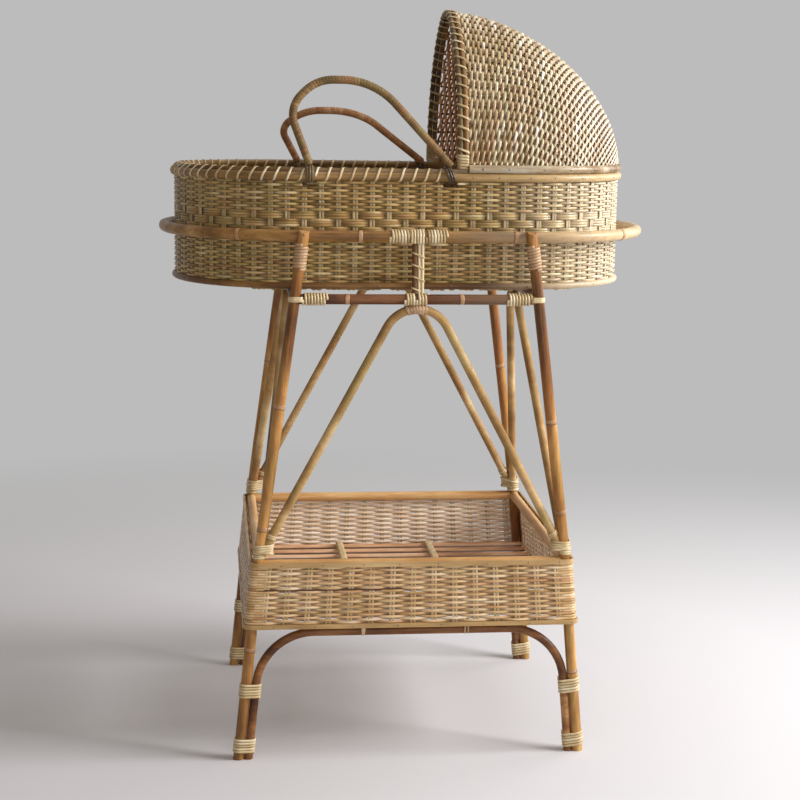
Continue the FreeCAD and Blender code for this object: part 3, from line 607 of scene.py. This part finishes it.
# Woven ends that peep out under the base rim, clear of the rails below
EDGE_PITCH, EDGE_HALF, EDGE_R, EDGE_SHARE = 8.3, 4.4, 207.6, 0.7
EDGE_REACH, EDGE_RAIL_ROOM = 270, 16
edge = Strands()
for j in range(int(OVAL_LENGTH / EDGE_PITCH)):
    s = j * EDGE_PITCH + np.linspace(-EDGE_HALF, EDGE_HALF, 7)
    at, out = oval(s, EDGE_R, BASE_Z + 0.6 - rng.uniform(0.6, 2.2) * np.cos(np.linspace(-1.5, 1.5, 7)))
    away = abs(at[3, 0])
    if abs(away - SIDE_RAIL_X) > EDGE_RAIL_ROOM and rng.random() < EDGE_SHARE and away < EDGE_REACH:
        edge.sweep(at, out, width=3.0, thick=2.4, profile=ROUND)
edge.piece("base_woven_edge", "basket", wall_cane, "basket_weave")


# Carry handles: cane wound round each, and loops round the rim

def bent_line(corners, radii, step):
    """A line with rounded corners, in even steps."""
    corners = [np.array(c, float) for c in corners]
    path = [corners[0]]
    for before, at, after, radius in zip(corners, corners[1:], corners[2:], radii):
        a, b = unit(before - at), unit(after - at)
        half = math.acos(float(np.clip(a @ b, -1, 1))) / 2
        centre = at + unit(a + b) * radius / math.sin(half)
        first, last = at + a * radius / math.tan(half) - centre, at + b * radius / math.tan(half) - centre
        for f in np.linspace(0, 1, 24):
            path.append(centre + unit(first * (1 - f) + last * f) * radius)
    path.append(corners[-1])
    return even_line(np.array(path), step)


HANDLE_CORNERS = ((-178, 0, 15.7), (-213, 0, 106.7), (-168, 0, 153.7), (-72, 0, 153.7), (58, 0, 15.7))
HANDLE_BENDS = (45, 68, 120)
WRAP_START, WRAP_PITCH = 1.5, 5.2
LOOP_STRANDS, LOOP_LEAN = ((-4.1, 13.3), (0.0, 13.9), (4.1, 13.3)), 4.5
HANDLES = (("front", -1, 0.0, front_wrap_cane), ("rear", 1, HANDLE_LEAN, rear_wrap_cane))
handle_at, handle_reach = bent_line(HANDLE_CORNERS, HANDLE_BENDS, 1.5)
handle_along = unit(np.gradient(handle_at, axis=0))
handle_band = band_round([(0, 0, HANDLE_R)], 0.25, 12)
wrap_turns = (handle_reach[-1] - 2 * WRAP_START) / WRAP_PITCH
for name, side, lean, wrap_cane in HANDLES:
    body = name + "_carry_handle"
    c, s = math.cos(math.radians(lean)), math.sin(math.radians(lean))
    hinge = np.array([0, side * WALL_MID, LOOP_Z])

    def handle_place(a, b, t):
        way = unit(along_line(t, handle_reach, handle_along))
        up = np.stack([-way[..., 2], 0 * t, way[..., 0]], -1)
        flat = along_line(t, handle_reach, handle_at) + up * np.asarray(b)[..., None]
        return (hinge + flat * (1, 0, 0) + np.multiply.outer(flat[..., 2], np.array([0, -s, c]))
                + np.multiply.outer(a, np.array([0, c, s])))

    wrap = Strands()
    wind(wrap, handle_place, handle_band, WRAP_START, WRAP_PITCH, wrap_turns, width=5.4, thick=0.5)
    wrap.piece(name + "_handle_wrap", body, wrap_cane, "rim_cane")
    turn = np.linspace(0, 2 * np.pi, 40, endpoint=False)
    out = np.stack([0 * turn, np.cos(turn), np.sin(turn)], 1)
    for x, stuff, kind in zip(LOOP_PLACES, (loop_tan, leather), ("left", "right")):
        loop = Strands()
        lean_x = 0 * turn if kind == "left" else -LOOP_SHIFT - LOOP_LEAN * np.sin(turn)
        for offset, radius in LOOP_STRANDS:
            path = hinge + np.stack([x + offset + lean_x, 0 * turn, 0 * turn], 1) + out * radius
            loop.sweep(path, out, width=4.2, thick=3.0, closed=True, profile=FINE)
        loop.piece(name + "_" + kind + "_loop", body, stuff, "loop_leather", [name + "_handle_loops"])

# Stand lashings of round cane: feet, rail ends, leg tops and ring centre
FOOT_LASH = dict(start=0, pitch=5.0, turns=5, width=4.4, thick=3.0, profile=FINE)
RAIL_END_LASH = dict(start=0, pitch=5.0, turns=8, width=4.2, thick=3.0, profile=FINE)
LEG_TOP_LASH = dict(start=0, pitch=5.0, turns=8, width=4.8, thick=2.6, profile=FINE)
RING_LASH = dict(start=0, pitch=5.0, turns=7, width=4.1, thick=3.0, profile=FINE)
FOOT_PLACES_Z, RAIL_END_X, LEG_TOP_Z, RING_PLACES = (12.0, 110.0), 190.6, 882.3, {-1: -11.7, 1: 13.1}
feet, rail_ends, leg_tops, ring_wrap = Strands(), Strands(), Strands(), Strands()
rise = unit((LEG_BEND_X - LEG_FOOT_X, 0, LEG_BEND_Z))
fall = unit((LEG_BEND_X - LEG_RING_X, 0, LEG_BEND_Z - RING_Z))
leg_band, rail_band, ring_band = (band_round([(0, 0, r)], 1.0) for r in (LEG_R, RAIL_R, RING_R))
inward = BOW_OFFSET * math.cos(math.atan2(LEG_FOOT_X - LEG_BEND_X, LEG_BEND_Z))
foot_band = band_round([(0, 0, LEG_R), (inward, 0, BOW_R)], 1.0, 32)
for sx in SIDES:
    for sy in SIDES:
        up, down = rise * (sx, 1, 1), fall * (sx, 1, 1)
        for z in FOOT_PLACES_Z:
            place = straight_place((sx * leg_x(z), sy * LEG_Y, z), up, np.cross((0, 1, 0), up) * -sx)
            wind(feet, place, foot_band, **FOOT_LASH)
        place = straight_place((sx * RAIL_END_X, sy * LEG_Y, RAIL_Z), (-sx, 0, 0), (0, sy, 0))
        wind(rail_ends, place, rail_band, **RAIL_END_LASH)
        place = straight_place((sx * leg_x(LEG_TOP_Z), sy * LEG_Y, LEG_TOP_Z), down, (0, sy, 0))
        wind(leg_tops, place, leg_band, **LEG_TOP_LASH)
        place = straight_place((RING_PLACES[sx], sy * RING_W, RING_Z), (sx, 0, 0), (0, sy, 0))
        wind(ring_wrap, place, ring_band, **RING_LASH)
feet.piece("foot_lashings", "stand", lash_cane, "binding_cane", ["foot_bindings"])
rail_ends.piece("rail_end_lashings", "stand", lash_cane, "binding_cane", ["rail_end_bindings"])
leg_tops.piece("leg_top_lashings", "stand", tan_cane, "binding_cane", ["leg_top_bindings"])
ring_wrap.piece("ring_centre_lashings", "stand", lash_cane, "binding_cane", ["ring_centre_bindings"])

# Tray wall: the same weave round a rectangle whose corners turn round the legs
TRAY_RUNS = (15, 0.5, 15, 0.5, 15, 0.5, 15, 0.5)
TRAY_STARTS = np.concatenate([[0], np.cumsum(TRAY_RUNS)])
TRAY_STAKES, TRAY_SIDE, TRAY_STAKE_OFFSET = 62, 15.5, 0.075
TRAY_SEAT = LEG_R + 0.3 + 1.5
TRAY_CORNERS = np.array([(-1, -1), (1, -1), (1, 1), (-1, 1)], float)


def tray_line(q, z, out):
    """Points and outward directions round the tray at a count of stakes along it."""
    q = np.mod(q, TRAY_STARTS[-1])
    part = np.searchsorted(TRAY_STARTS, q, side="right") - 1
    share = (q - TRAY_STARTS[part]) / np.array(TRAY_RUNS)[part]
    quarter = part // 2
    bend = part % 2 * share * math.pi / 2 - math.pi / 2 + quarter * math.pi / 2
    normal = np.stack([np.cos(bend), np.sin(bend), 0 * q], -1)
    f = np.where(part % 2 == 0, share, 1.0)[:, None]
    corner = TRAY_CORNERS[quarter] * (1 - f) + TRAY_CORNERS[(quarter + 1) % 4] * f
    at = np.stack([corner[:, 0] * leg_x(z), corner[:, 1] * LEG_Y, 0 * q + z], -1)
    return at + normal * np.broadcast_to(TRAY_SEAT + out, q.shape)[:, None], normal


tray_stakes = Strands()
levels = np.linspace(TRAY_BOTTOM_Z + 1, TRAY_TOP_Z - 6, 5)
for j in range(TRAY_STAKES):
    for side in (-TRAY_STAKE_OFFSET, TRAY_STAKE_OFFSET):
        at, out = tray_line(0 * levels + (j + 0.5 + side), levels, 0.0)
        tray_stakes.sweep(at, out, width=4.2, thick=1.8)
tray_stakes.piece("tray_stakes", "stand", tray_stake_cane, "tray_weave", ["tray_wall"])

TRAY_FIRST_Z, TRAY_PITCH, TRAY_COURSES, TRAY_BULGE = 243.4, 4.55, 22, 2.9
CORNER_MIDDLE, CORNER_HALF, CORNER_BLEND = 15.25, 0.45, 0.4
SLIT_MIDDLE, SLIT_HALF, SLIT_COURSE, SLIT_FADE, SLIT_UP, SLIT_DOWN = 3.2, 3.4, 12.5, 2.2, 2.4, -1.2
tray_weave = Strands()
count = TRAY_STAKES * WEAVER_STEPS
q = np.linspace(0, TRAY_STAKES, count, endpoint=False)
from_corner = np.abs((q - CORNER_MIDDLE + TRAY_SIDE / 2) % TRAY_SIDE - TRAY_SIDE / 2)
loose = np.clip((from_corner - CORNER_HALF) / CORNER_BLEND, 0, 1)
slit = np.clip(1 - abs(q - SLIT_MIDDLE) / SLIT_HALF, 0, 1) ** 0.5
for i in range(TRAY_COURSES):
    bulge = TRAY_BULGE * wave(q - 0.5 + i, WEAVER_SQUARE)
    bulge = bulge * loose + (1 - loose) * (0.3 + abs(bulge) * 0.5)
    parted = (SLIT_UP if i > SLIT_COURSE else SLIT_DOWN) * math.exp(-abs(i - SLIT_COURSE) / SLIT_FADE)
    z = TRAY_FIRST_Z + TRAY_PITCH * i + slit * parted
    at, out = tray_line(q, z + drift(count, 0.4, (5, 11, 17)), bulge)
    tray_weave.sweep(at, out, 4.6 + drift(count, 0.35, (9, 19)), thick=3.1, closed=True, profile=FINE,
                     over=bulge / TRAY_BULGE)
tray_weave.piece("tray_weave", "stand", tray_cane, "tray_weave", ["tray_wall"], tray_inside)

# A dark strand, painted shadow, fills the slit where two courses part on the tray's front
GAP_FROM, GAP_TO, GAP_Z, GAP_SWAY, GAP_OUT = 0.1, 7.4, 300.7, 0.4, 0.4
slit_shadow = Strands()
q = np.linspace(GAP_FROM, GAP_TO, 70)
at, out = tray_line(q, GAP_Z + GAP_SWAY * np.sin(2 * q), GAP_OUT)
slit_shadow.sweep(at, out, width=3.6, thick=1.4, over=-1.0)
slit_shadow.piece("tray_slit_shadow", "stand", node_cane, "tray_weave")

# Braided ties across the slats
TIE_PLACES_X, TIE_TURN, TIE_OVERRUN, TIE_STRANDS = (-89.0, 87.0), 27, 4, 3
TIE_SWAY, TIE_RISE, TIE_SEAT = 4.6, 1.3, 3.1
ties = Strands()
for x in TIE_PLACES_X:
    y = np.linspace(-SLAT_REACH - TIE_OVERRUN, SLAT_REACH + TIE_OVERRUN, 220)
    for i in range(TIE_STRANDS):
        turn = y / TIE_TURN * 2 * np.pi + i * 2 * np.pi / TIE_STRANDS
        z = SLAT_Z + SLAT_R + TIE_SEAT + TIE_RISE * np.sin(2 * turn)
        path = np.stack([x + TIE_SWAY * np.sin(turn), y, z], 1)
        ties.sweep(path, (0, 0, 1), width=5.8, thick=2.8, profile=FINE)
ties.piece("tray_floor_braids", "stand", lash_cane, "binding_cane", ["tray_floor_ties"])

# Small lashings: struts, rail and brace centres, ring hangers, foot cane straps, leg collars, tray corners
STRUT_CANES = ((0, 0, 4.3), (7.3, 0, 2.7), (13, 0, 2.7))
STRUT_SPIRAL = dict(start=14 + 19.5 * 3.8, pitch=-19.5, turns=3.8, width=2.8, thick=1.5, profile=FINE)
APEX_LASH = dict(start=-19.0, pitch=5.0, turns=7.0, width=5.1, thick=1.3)
RAIL_WRAPS = ((-21.5, 3.4), (-2.0, 3.8))
HANGERS_X, HANGER_DROPS = (-10.6, -6.0, -1.4, 3.2, 7.8), (3, 7, 11)
STRAPS, STRAP_TAPER = ((-84.0, 8.5), (91.0, 3.0), (96.5, 3.0)), np.array([1, 0.9, 0.65, 0.45, 0.3])
STRAP_Z, STRAP_Y = np.array([12.0, 4.0, -2.0, -6.5, -8.2]), np.array([259.4, 259.6, 258.8, 255.5, 251.0])
COLLAR_LEAD, COLLAR_ROOM, HANGER_ROOM = (13, 8, 4), 0.9, 1.6
STRUT_FOOT_X, BRACE_LASH_RISE, BUNDLE_OFFSET = -5, 36, 13.0
small, apexes = Strands(), Strands()
strut_band = band_round(STRUT_CANES, 0.8, 24)
brace_band = band_round([(0, 0, BRACE_R)], 0.7)
corner_leg_band = band_round([(0, 0, LEG_R)], 1.2)
bundle = ((0, 0, LEG_R), (BUNDLE_OFFSET, 0, BRACE_R), (0, BUNDLE_OFFSET, BRACE_R))
bundle_band, outer_bundle_band = band_round(bundle, 1.2, 32), band_round(bundle, 2.8, 32)
slope = leg_x(BRACE_FOOT_Z) / (BRACE_PEAK_Z - BRACE_FOOT_Z)
brace_x = leg_x(BRACE_FOOT_Z) - slope * BRACE_LASH_RISE
for sy in SIDES:
    lean = (0, sy * (RING_W - LEG_Y), RING_Z - RAIL_Z)
    place = straight_place((STRUT_FOOT_X, sy * LEG_Y, RAIL_Z), lean, (1, 0, 0))
    wind(small, place, strut_band, **STRUT_SPIRAL)
    for x, turns in RAIL_WRAPS:
        place = straight_place((x, sy * LEG_Y, RAIL_Z), (1, 0, 0), (0, sy, 0))
        wind(small, place, rail_band, start=0, pitch=4.9, turns=turns, width=4.2, thick=2.8, profile=FINE)

    def apex_place(a, b, t):
        turn, reach = t / BRACE_BEND, BRACE_BEND + b
        z = BRACE_APEX_Z - BRACE_BEND + reach * np.cos(turn)
        return np.stack([reach * np.sin(turn), sy * LEG_Y + a, z], -1)

    wind(apexes, apex_place, brace_band, **APEX_LASH)
    for x in HANGERS_X:
        turn = np.radians(np.linspace(-70, 180, 22))
        out = np.stack([0 * turn, -sy * np.cos(turn), np.sin(turn)], 1)
        path = np.array([x, sy * RING_W, RING_Z]) + out * (RING_R + HANGER_ROOM)
        path = np.vstack([path, path[-1] + np.outer(HANGER_DROPS, (0, 0, -1.0))])
        small.sweep(path, np.vstack([out, out[[-1, -1, -1]]]), width=4.1, thick=2.8, profile=FINE)
    for x, width in STRAPS:
        path = np.stack([0 * STRAP_Z + x, sy * STRAP_Y, BOW_Z + STRAP_Z], 1)
        out = unit(path - np.array([x, sy * LEG_Y, BOW_Z])) + (0, sy * 0.4, 0)
        small.sweep(path, out, width * STRAP_TAPER, thick=1.0)
    for sx in SIDES:
        turn = np.radians(np.linspace(0, 150, 20))
        out = np.stack([sx * np.sin(turn), sy * np.cos(turn), 0 * turn], 1)
        path = np.array([sx * leg_x(RAIL_Z), sy * LEG_Y, RAIL_Z]) + out * (LEG_R + COLLAR_ROOM)
        path = np.vstack([path[0] - np.outer(COLLAR_LEAD, (sx, 0, 0)), path])
        small.sweep(path, np.vstack([out[[0, 0, 0]], out]), width=9.5, thick=1.5)

        def corner_place(a, b, t):
            z = BRACE_FOOT_Z + t
            return np.stack([sx * (leg_x(z) - a), sy * (LEG_Y - b), z], -1)

        brace_at = (sx * brace_x, sy * LEG_Y, BRACE_FOOT_Z + BRACE_LASH_RISE)
        brace_place = straight_place(brace_at, (-sx * slope, 0, 1), (0, 1, 0))
        for place, band, start, pitch, turns, thick in (
                (corner_place, corner_leg_band, 2.0, 3.7, 2.4, 2.6),
                (corner_place, bundle_band, 10.0, 3.9, 4.6, 2.6),
                (corner_place, outer_bundle_band, 27.0, -17.0, 1.0, 2.4),
                (brace_place, brace_band, 0, 3.8, 2.2, 2.2)):
            wind(small, place, band, start, pitch, turns, width=3.8, thick=thick, profile=FINE)
small.piece("small_lashings", "stand", lash_cane, "binding_cane")
apexes.piece("brace_top_lashings", "stand", tan_cane, "binding_cane")

# Pale sheaths and dark rings at the joints of the canes
LEG_NODES_Z, RAIL_NODES_X = np.array([165.0, 420.0, 610.0]), (-120.0, 75.0)
NODE_SINK, NODE_WOBBLE, SHEATH_SHIFT = 0.1, 0.8, 3.6
rings, sheaths = Strands(), Strands()


def node_ring(at, along, radius):
    along = unit(along)
    across = unit(np.cross(along, (0.3, 0.5, 0.81)))
    third = np.cross(along, across)
    turn = np.linspace(0, 2 * np.pi, 24, endpoint=False)
    out = np.multiply.outer(np.cos(turn), across) + np.multiply.outer(np.sin(turn), third)
    wobble = np.multiply.outer(NODE_WOBBLE * np.sin(turn + rng.random() * 6), along)
    path = np.asarray(at) + out * (radius - NODE_SINK) + wobble
    rings.sweep(path, out, width=1.5, thick=1.2, closed=True)
    sheaths.sweep(path + along * SHEATH_SHIFT, out, width=7.0, thick=0.7, closed=True)


for sx in SIDES:
    for sy in SIDES:
        for z in LEG_NODES_Z + rng.uniform(-35, 35, 3):
            node_ring((sx * leg_x(z), sy * LEG_Y, z), (rise if z < LEG_BEND_Z else -fall) * (sx, 1, 1), LEG_R)
for sy in SIDES:
    for x in RAIL_NODES_X:
        node_ring((x + rng.uniform(-20, 20), sy * LEG_Y, RAIL_Z), (1, 0, 0), RAIL_R)
for s in np.linspace(60, 2100, 9) + rng.uniform(-40, 40, 9):
    at, out = oval(np.array([s]), RING_W, RING_Z, RING_A, RING_W, 0.0)
    node_ring(at[0], np.cross((0, 0, 1), out[0]), RING_R)
rings.piece("cane_node_rings", "stand", node_cane, "stand_cane")
sheaths.piece("cane_sheaths", "stand", sheath_cane, "stand_cane")

# Nails in the tray bands, the leg tips and the rims
BAND_NAILS_Z, BAND_NAIL_OUT = (344.2, 237.3), 4.9
stand_nails = Strands()
for z in BAND_NAILS_Z:
    q = np.arange(0.9, TRAY_STAKES, 2.0) + rng.uniform(-0.25, 0.25, 31)
    for at, out in zip(*tray_line(q, z, BAND_NAIL_OUT)):
        stand_nails.head(at, out, radius=1.3, rise=0.7)
for sx in SIDES:
    for sy in SIDES:
        at = (sx * leg_x(900), sy * (LEG_Y + LEG_R - 0.2), 899.0)
        stand_nails.head(at, (0, sy, 0), radius=1.6, rise=0.8)
stand_nails.piece("stand_nails", "stand", steel, "stand_cane")

# Each row of basket nails: its radius and height, the gap and size of its nails, where it starts and ends
hood_from, hood_to = front_length(HOOD_X), rear_length(HOOD_X)
NAIL_ROWS = ((215.7, 992.4, 46.0, 1.4, hood_from + 10, hood_to),
             (215.7, 1006.7, 52.0, 2.0, hood_from + 18, hood_to), (214.2, 810.9, 130.0, 1.4, 0, OVAL_LENGTH))
basket_nails = Strands()
for radius, z, gap, size, first, last in NAIL_ROWS:
    s = np.arange(first, last, gap)
    s = s + rng.uniform(-6, 6, len(s))
    for at, out in zip(*oval(s, radius, z)):
        basket_nails.head(at, out, size, rise=0.8)
basket_nails.piece("basket_nails", "basket", steel, "rim_cane")

# Finishes of the solid canes
STAND = [(98, 62, 32), (150, 107, 58), (190, 148, 92), (224, 188, 136)]
RING = [(80, 50, 20), (120, 82, 38), (154, 112, 58), (190, 150, 94)]
RAIL = [(36, 17, 8), (58, 29, 14), (84, 46, 24), (124, 80, 48)]
# The brace tones are partly raised as painted light, for the bright lit sides of the braces
BRACE = [(120, 88, 50), (170, 134, 84), (216, 186, 138)]
BOW = [(66, 36, 14), (104, 62, 28), (144, 96, 52), (186, 140, 92)]
TRAY = [(166, 116, 64), (204, 156, 98), (228, 190, 138)]
BAND = [(146, 112, 66), (178, 144, 94), (200, 170, 122)]
SLATS = [(164, 112, 76), (214, 166, 126), (242, 212, 180)]
RIM = [(94, 66, 32), (138, 104, 56), (180, 146, 90)]
HOOD_RAIL = [(92, 68, 36), (122, 94, 58), (160, 140, 110), (198, 186, 166)]
LEG_ZONES = [(0.0, (255, 255, 240)), (0.3, (255, 242, 220)), (0.62, (252, 236, 212)), (0.74, (200, 176, 132)),
             (0.82, (204, 178, 134)), (0.86, (222, 200, 164))]
# The rails turn paler towards +X as painted light
RAIL_LOOK = dict(coat=0.05, rough=(0.42, 0.6), pale=((190, 150, 112), 0.02, 0.22, 0.5))


def finish(nodes, name, tones, lines, coat=0.2, rough=(0.3, 0.5), **more):
    """Gives some of the solids a cane of their own."""
    material = cane(name, tones, lines, rough, coat, by="Object", **more)
    for node in nodes:
        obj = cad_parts[node]
        obj.data.materials.clear()
        obj.data.materials.append(material)


finish(["leg_front_left", "leg_front_right", "leg_rear_left", "leg_rear_right"], "leg_rattan", STAND, UPRIGHT,
       coat=0.15, bump=0.12, accents=((140, 122, 66), (138, 82, 44)), zones=LEG_ZONES)
# Painted light: the ring grows paler towards +X
finish(["basket_ring"], "ring_rattan", RING, LENGTHWISE, coat=0.1, pale=((238, 216, 176), 0.02, 0.38, 0.5))
finish(["front_rail", "rear_rail"], "long_rattan", RAIL, LENGTHWISE, **RAIL_LOOK)
finish(["left_rail", "right_rail"], "cross_rattan", RAIL, CROSSWISE, **RAIL_LOOK)
finish(["front_brace", "rear_brace", "left_brace", "right_brace"], "brace_rattan", BRACE, BRACE_GRAIN,
       coat=0.0, rough=(0.68, 0.8), bump=0.05, accents=((150, 134, 84), (150, 100, 62)))
finish(["front_foot_bow", "rear_foot_bow"], "bow_rattan", BOW, LENGTHWISE, coat=0.1, rough=(0.4, 0.58))
finish(["front_strut", "rear_strut"], "strut_rattan", [(80, 50, 22), (116, 78, 38)], UPRIGHT, **DULL)
finish(["front_strut_canes", "rear_strut_canes"], "strut_cane", [(196, 172, 128), (232, 216, 180)], UPRIGHT)
finish(["tray_front_rail", "tray_rear_rail", "tray_bottom_rails"], "tray_long_rattan", TRAY, LENGTHWISE)
finish(["tray_left_rail", "tray_right_rail"], "tray_cross_rattan", TRAY, CROSSWISE)
finish(["tray_top_band", "tray_bottom_band"], "band_rattan", BAND, LENGTHWISE)
# The slats' undersides get painted shade, for dark lines between them
finish(["tray_floor_slats"], "slat_rattan", SLATS, LENGTHWISE, under=0.25)
finish(["tray_floor_bearers"], "bearer_rattan", SLATS, CROSSWISE)
# Painted light: the rim hoops and the base rim grow paler towards +X
finish(["rim_outer_hoop", "rim_inner_hoop"], "rim_rattan", RIM, LENGTHWISE,
       pale=((228, 202, 156), 0.05, 0.36, 0.55))
finish(["hood_rail"], "hood_rail_rattan", HOOD_RAIL, LENGTHWISE)
finish(["base_rim"], "base_rattan", [(72, 44, 16), (106, 70, 30), (148, 108, 58)], LENGTHWISE, coat=0.1,
       pale=((244, 226, 190), 0.1, 0.38, 0.62))
# The front arch pole is darker than the rear one as painted shade, lying on the shaded side
finish(["hood_arch_front"], "arch_front_rattan", [(64, 48, 26), (90, 70, 40), (116, 92, 54)], UPRIGHT, **DULL)
finish(["hood_arch_rear"], "arch_rear_rattan", [(84, 58, 30), (116, 84, 46), (146, 108, 64)], UPRIGHT, **DULL)
finish(["front_handle", "rear_handle"], "handle_rattan", [(84, 60, 36), (120, 90, 58)], ANYWAY, **DULL)


# Floor, light and camera, in metres

def looked_at(tree):
    """One where a ray from the camera, a reflection or a clear surface arrives, and zero elsewhere."""
    ray = tree.nodes.new("ShaderNodeLightPath")
    found = ray.outputs["Is Camera Ray"]
    for kind in ("Is Glossy Ray", "Is Transmission Ray"):
        found = joined(tree, found, ray.outputs[kind], "MAXIMUM")
    return found


def shown(tree, amount, near, far, end):
    """Mixes two shaders into the output that ends the tree."""
    pick = add(tree, "ShaderNodeMixShader", {0: amount, 1: near, 2: far})
    tree.links.new(pick.outputs["Shader"], tree.nodes[end].inputs["Surface"])


BACKDROP, FLOOR_TONE = tone(188, 188, 188), tone(206, 204, 207)
FLOOR_FADE = (0.9, 2.5)
floor = bpy.data.meshes.new("floor")
floor.from_pydata([(-9, -9, 0), (9, -9, 0), (9, 9, 0), (-9, 9, 0)], [], [(0, 1, 2, 3)])
floor_obj = bpy.data.objects.new("floor", floor)
bpy.context.scene.collection.objects.link(floor_obj)
floor_mat = bpy.data.materials.new("pale_floor")
floor_mat.use_nodes = True
tree = floor_mat.node_tree
ground = tree.nodes["Principled BSDF"]
feed(tree, ground, {"Base Color": FLOOR_TONE, "Roughness": 0.85, "Specular IOR Level": 0.15})
far = add(tree, "ShaderNodeEmission", {"Color": BACKDROP})
where = tree.nodes.new("ShaderNodeTexCoord")
away = add(tree, "ShaderNodeVectorMath", {0: where.outputs["Object"]}, operation="LENGTH")
fade = joined(tree, ranged(tree, away.outputs["Value"], FLOOR_FADE), looked_at(tree))
shown(tree, fade, ground.outputs["BSDF"], far.outputs["Emission"], "Material Output")
floor.materials.append(floor_mat)

world = bpy.data.worlds.new("studio")
bpy.context.scene.world = world
world.use_nodes = True
tree = world.node_tree
light = tree.nodes["Background"]
feed(tree, light, {"Color": (1.0, 0.9, 0.77, 1), "Strength": 0.25})
backdrop = add(tree, "ShaderNodeBackground", {"Color": BACKDROP})
shown(tree, looked_at(tree), light.outputs["Background"], backdrop.outputs["Background"], "World Output")


def posed(right, up, back, place):
    """The matrix of an object that looks against its back direction."""
    return Matrix([[right[i], up[i], back[i], place[i]] for i in range(3)] + [[0, 0, 0, 1]])


def lamp(name, place, aim, size, power):
    data = bpy.data.lights.new(name, "AREA")
    data.shape, data.size, data.energy = "SQUARE", size, power
    obj = bpy.data.objects.new(name, data)
    bpy.context.scene.collection.objects.link(obj)
    back = unit(np.array(place) - np.array(aim))
    side = unit(np.cross((0, 0, 1), back))
    obj.matrix_world = posed(side, np.cross(back, side), back, place)


lamp("window", (3.1, -0.95, 2.05), (0, 0, 0.7), 1.6, 184)
lamp("fill", (0.4, -3.4, 0.95), (0, 0, 0.3), 1.9, 26)
lamp("edge", (2.4, 1.0, 1.3), (0.2, 0, 0.8), 1.4, 16)
lamp("sky", (0.6, 0.1, 3.4), (0.1, 0, 0.8), 2.2, 30)

CAMERA_TURN, CAMERA_PLACE = (6.5, 9.8, 0.9), (-0.3435, -3.0317, 1.1074)
yaw, pitch, roll = (math.radians(v) for v in CAMERA_TURN)
ahead = np.array([math.sin(yaw) * math.cos(pitch), math.cos(yaw) * math.cos(pitch), -math.sin(pitch)])
right = np.array([math.cos(yaw), -math.sin(yaw), 0])
down = np.cross(ahead, right)
right, down = (math.cos(roll) * right - math.sin(roll) * down, math.sin(roll) * right + math.cos(roll) * down)
camera = bpy.data.cameras.new("camera")
camera.lens, camera.sensor_width = 76.41, 36.0
camera_obj = bpy.data.objects.new("camera", camera)
camera_obj.matrix_world = posed(right, -down, -ahead, CAMERA_PLACE)
bpy.context.scene.collection.objects.link(camera_obj)
bpy.context.scene.camera = camera_obj
bpy.context.scene.view_settings.view_transform = "Standard"
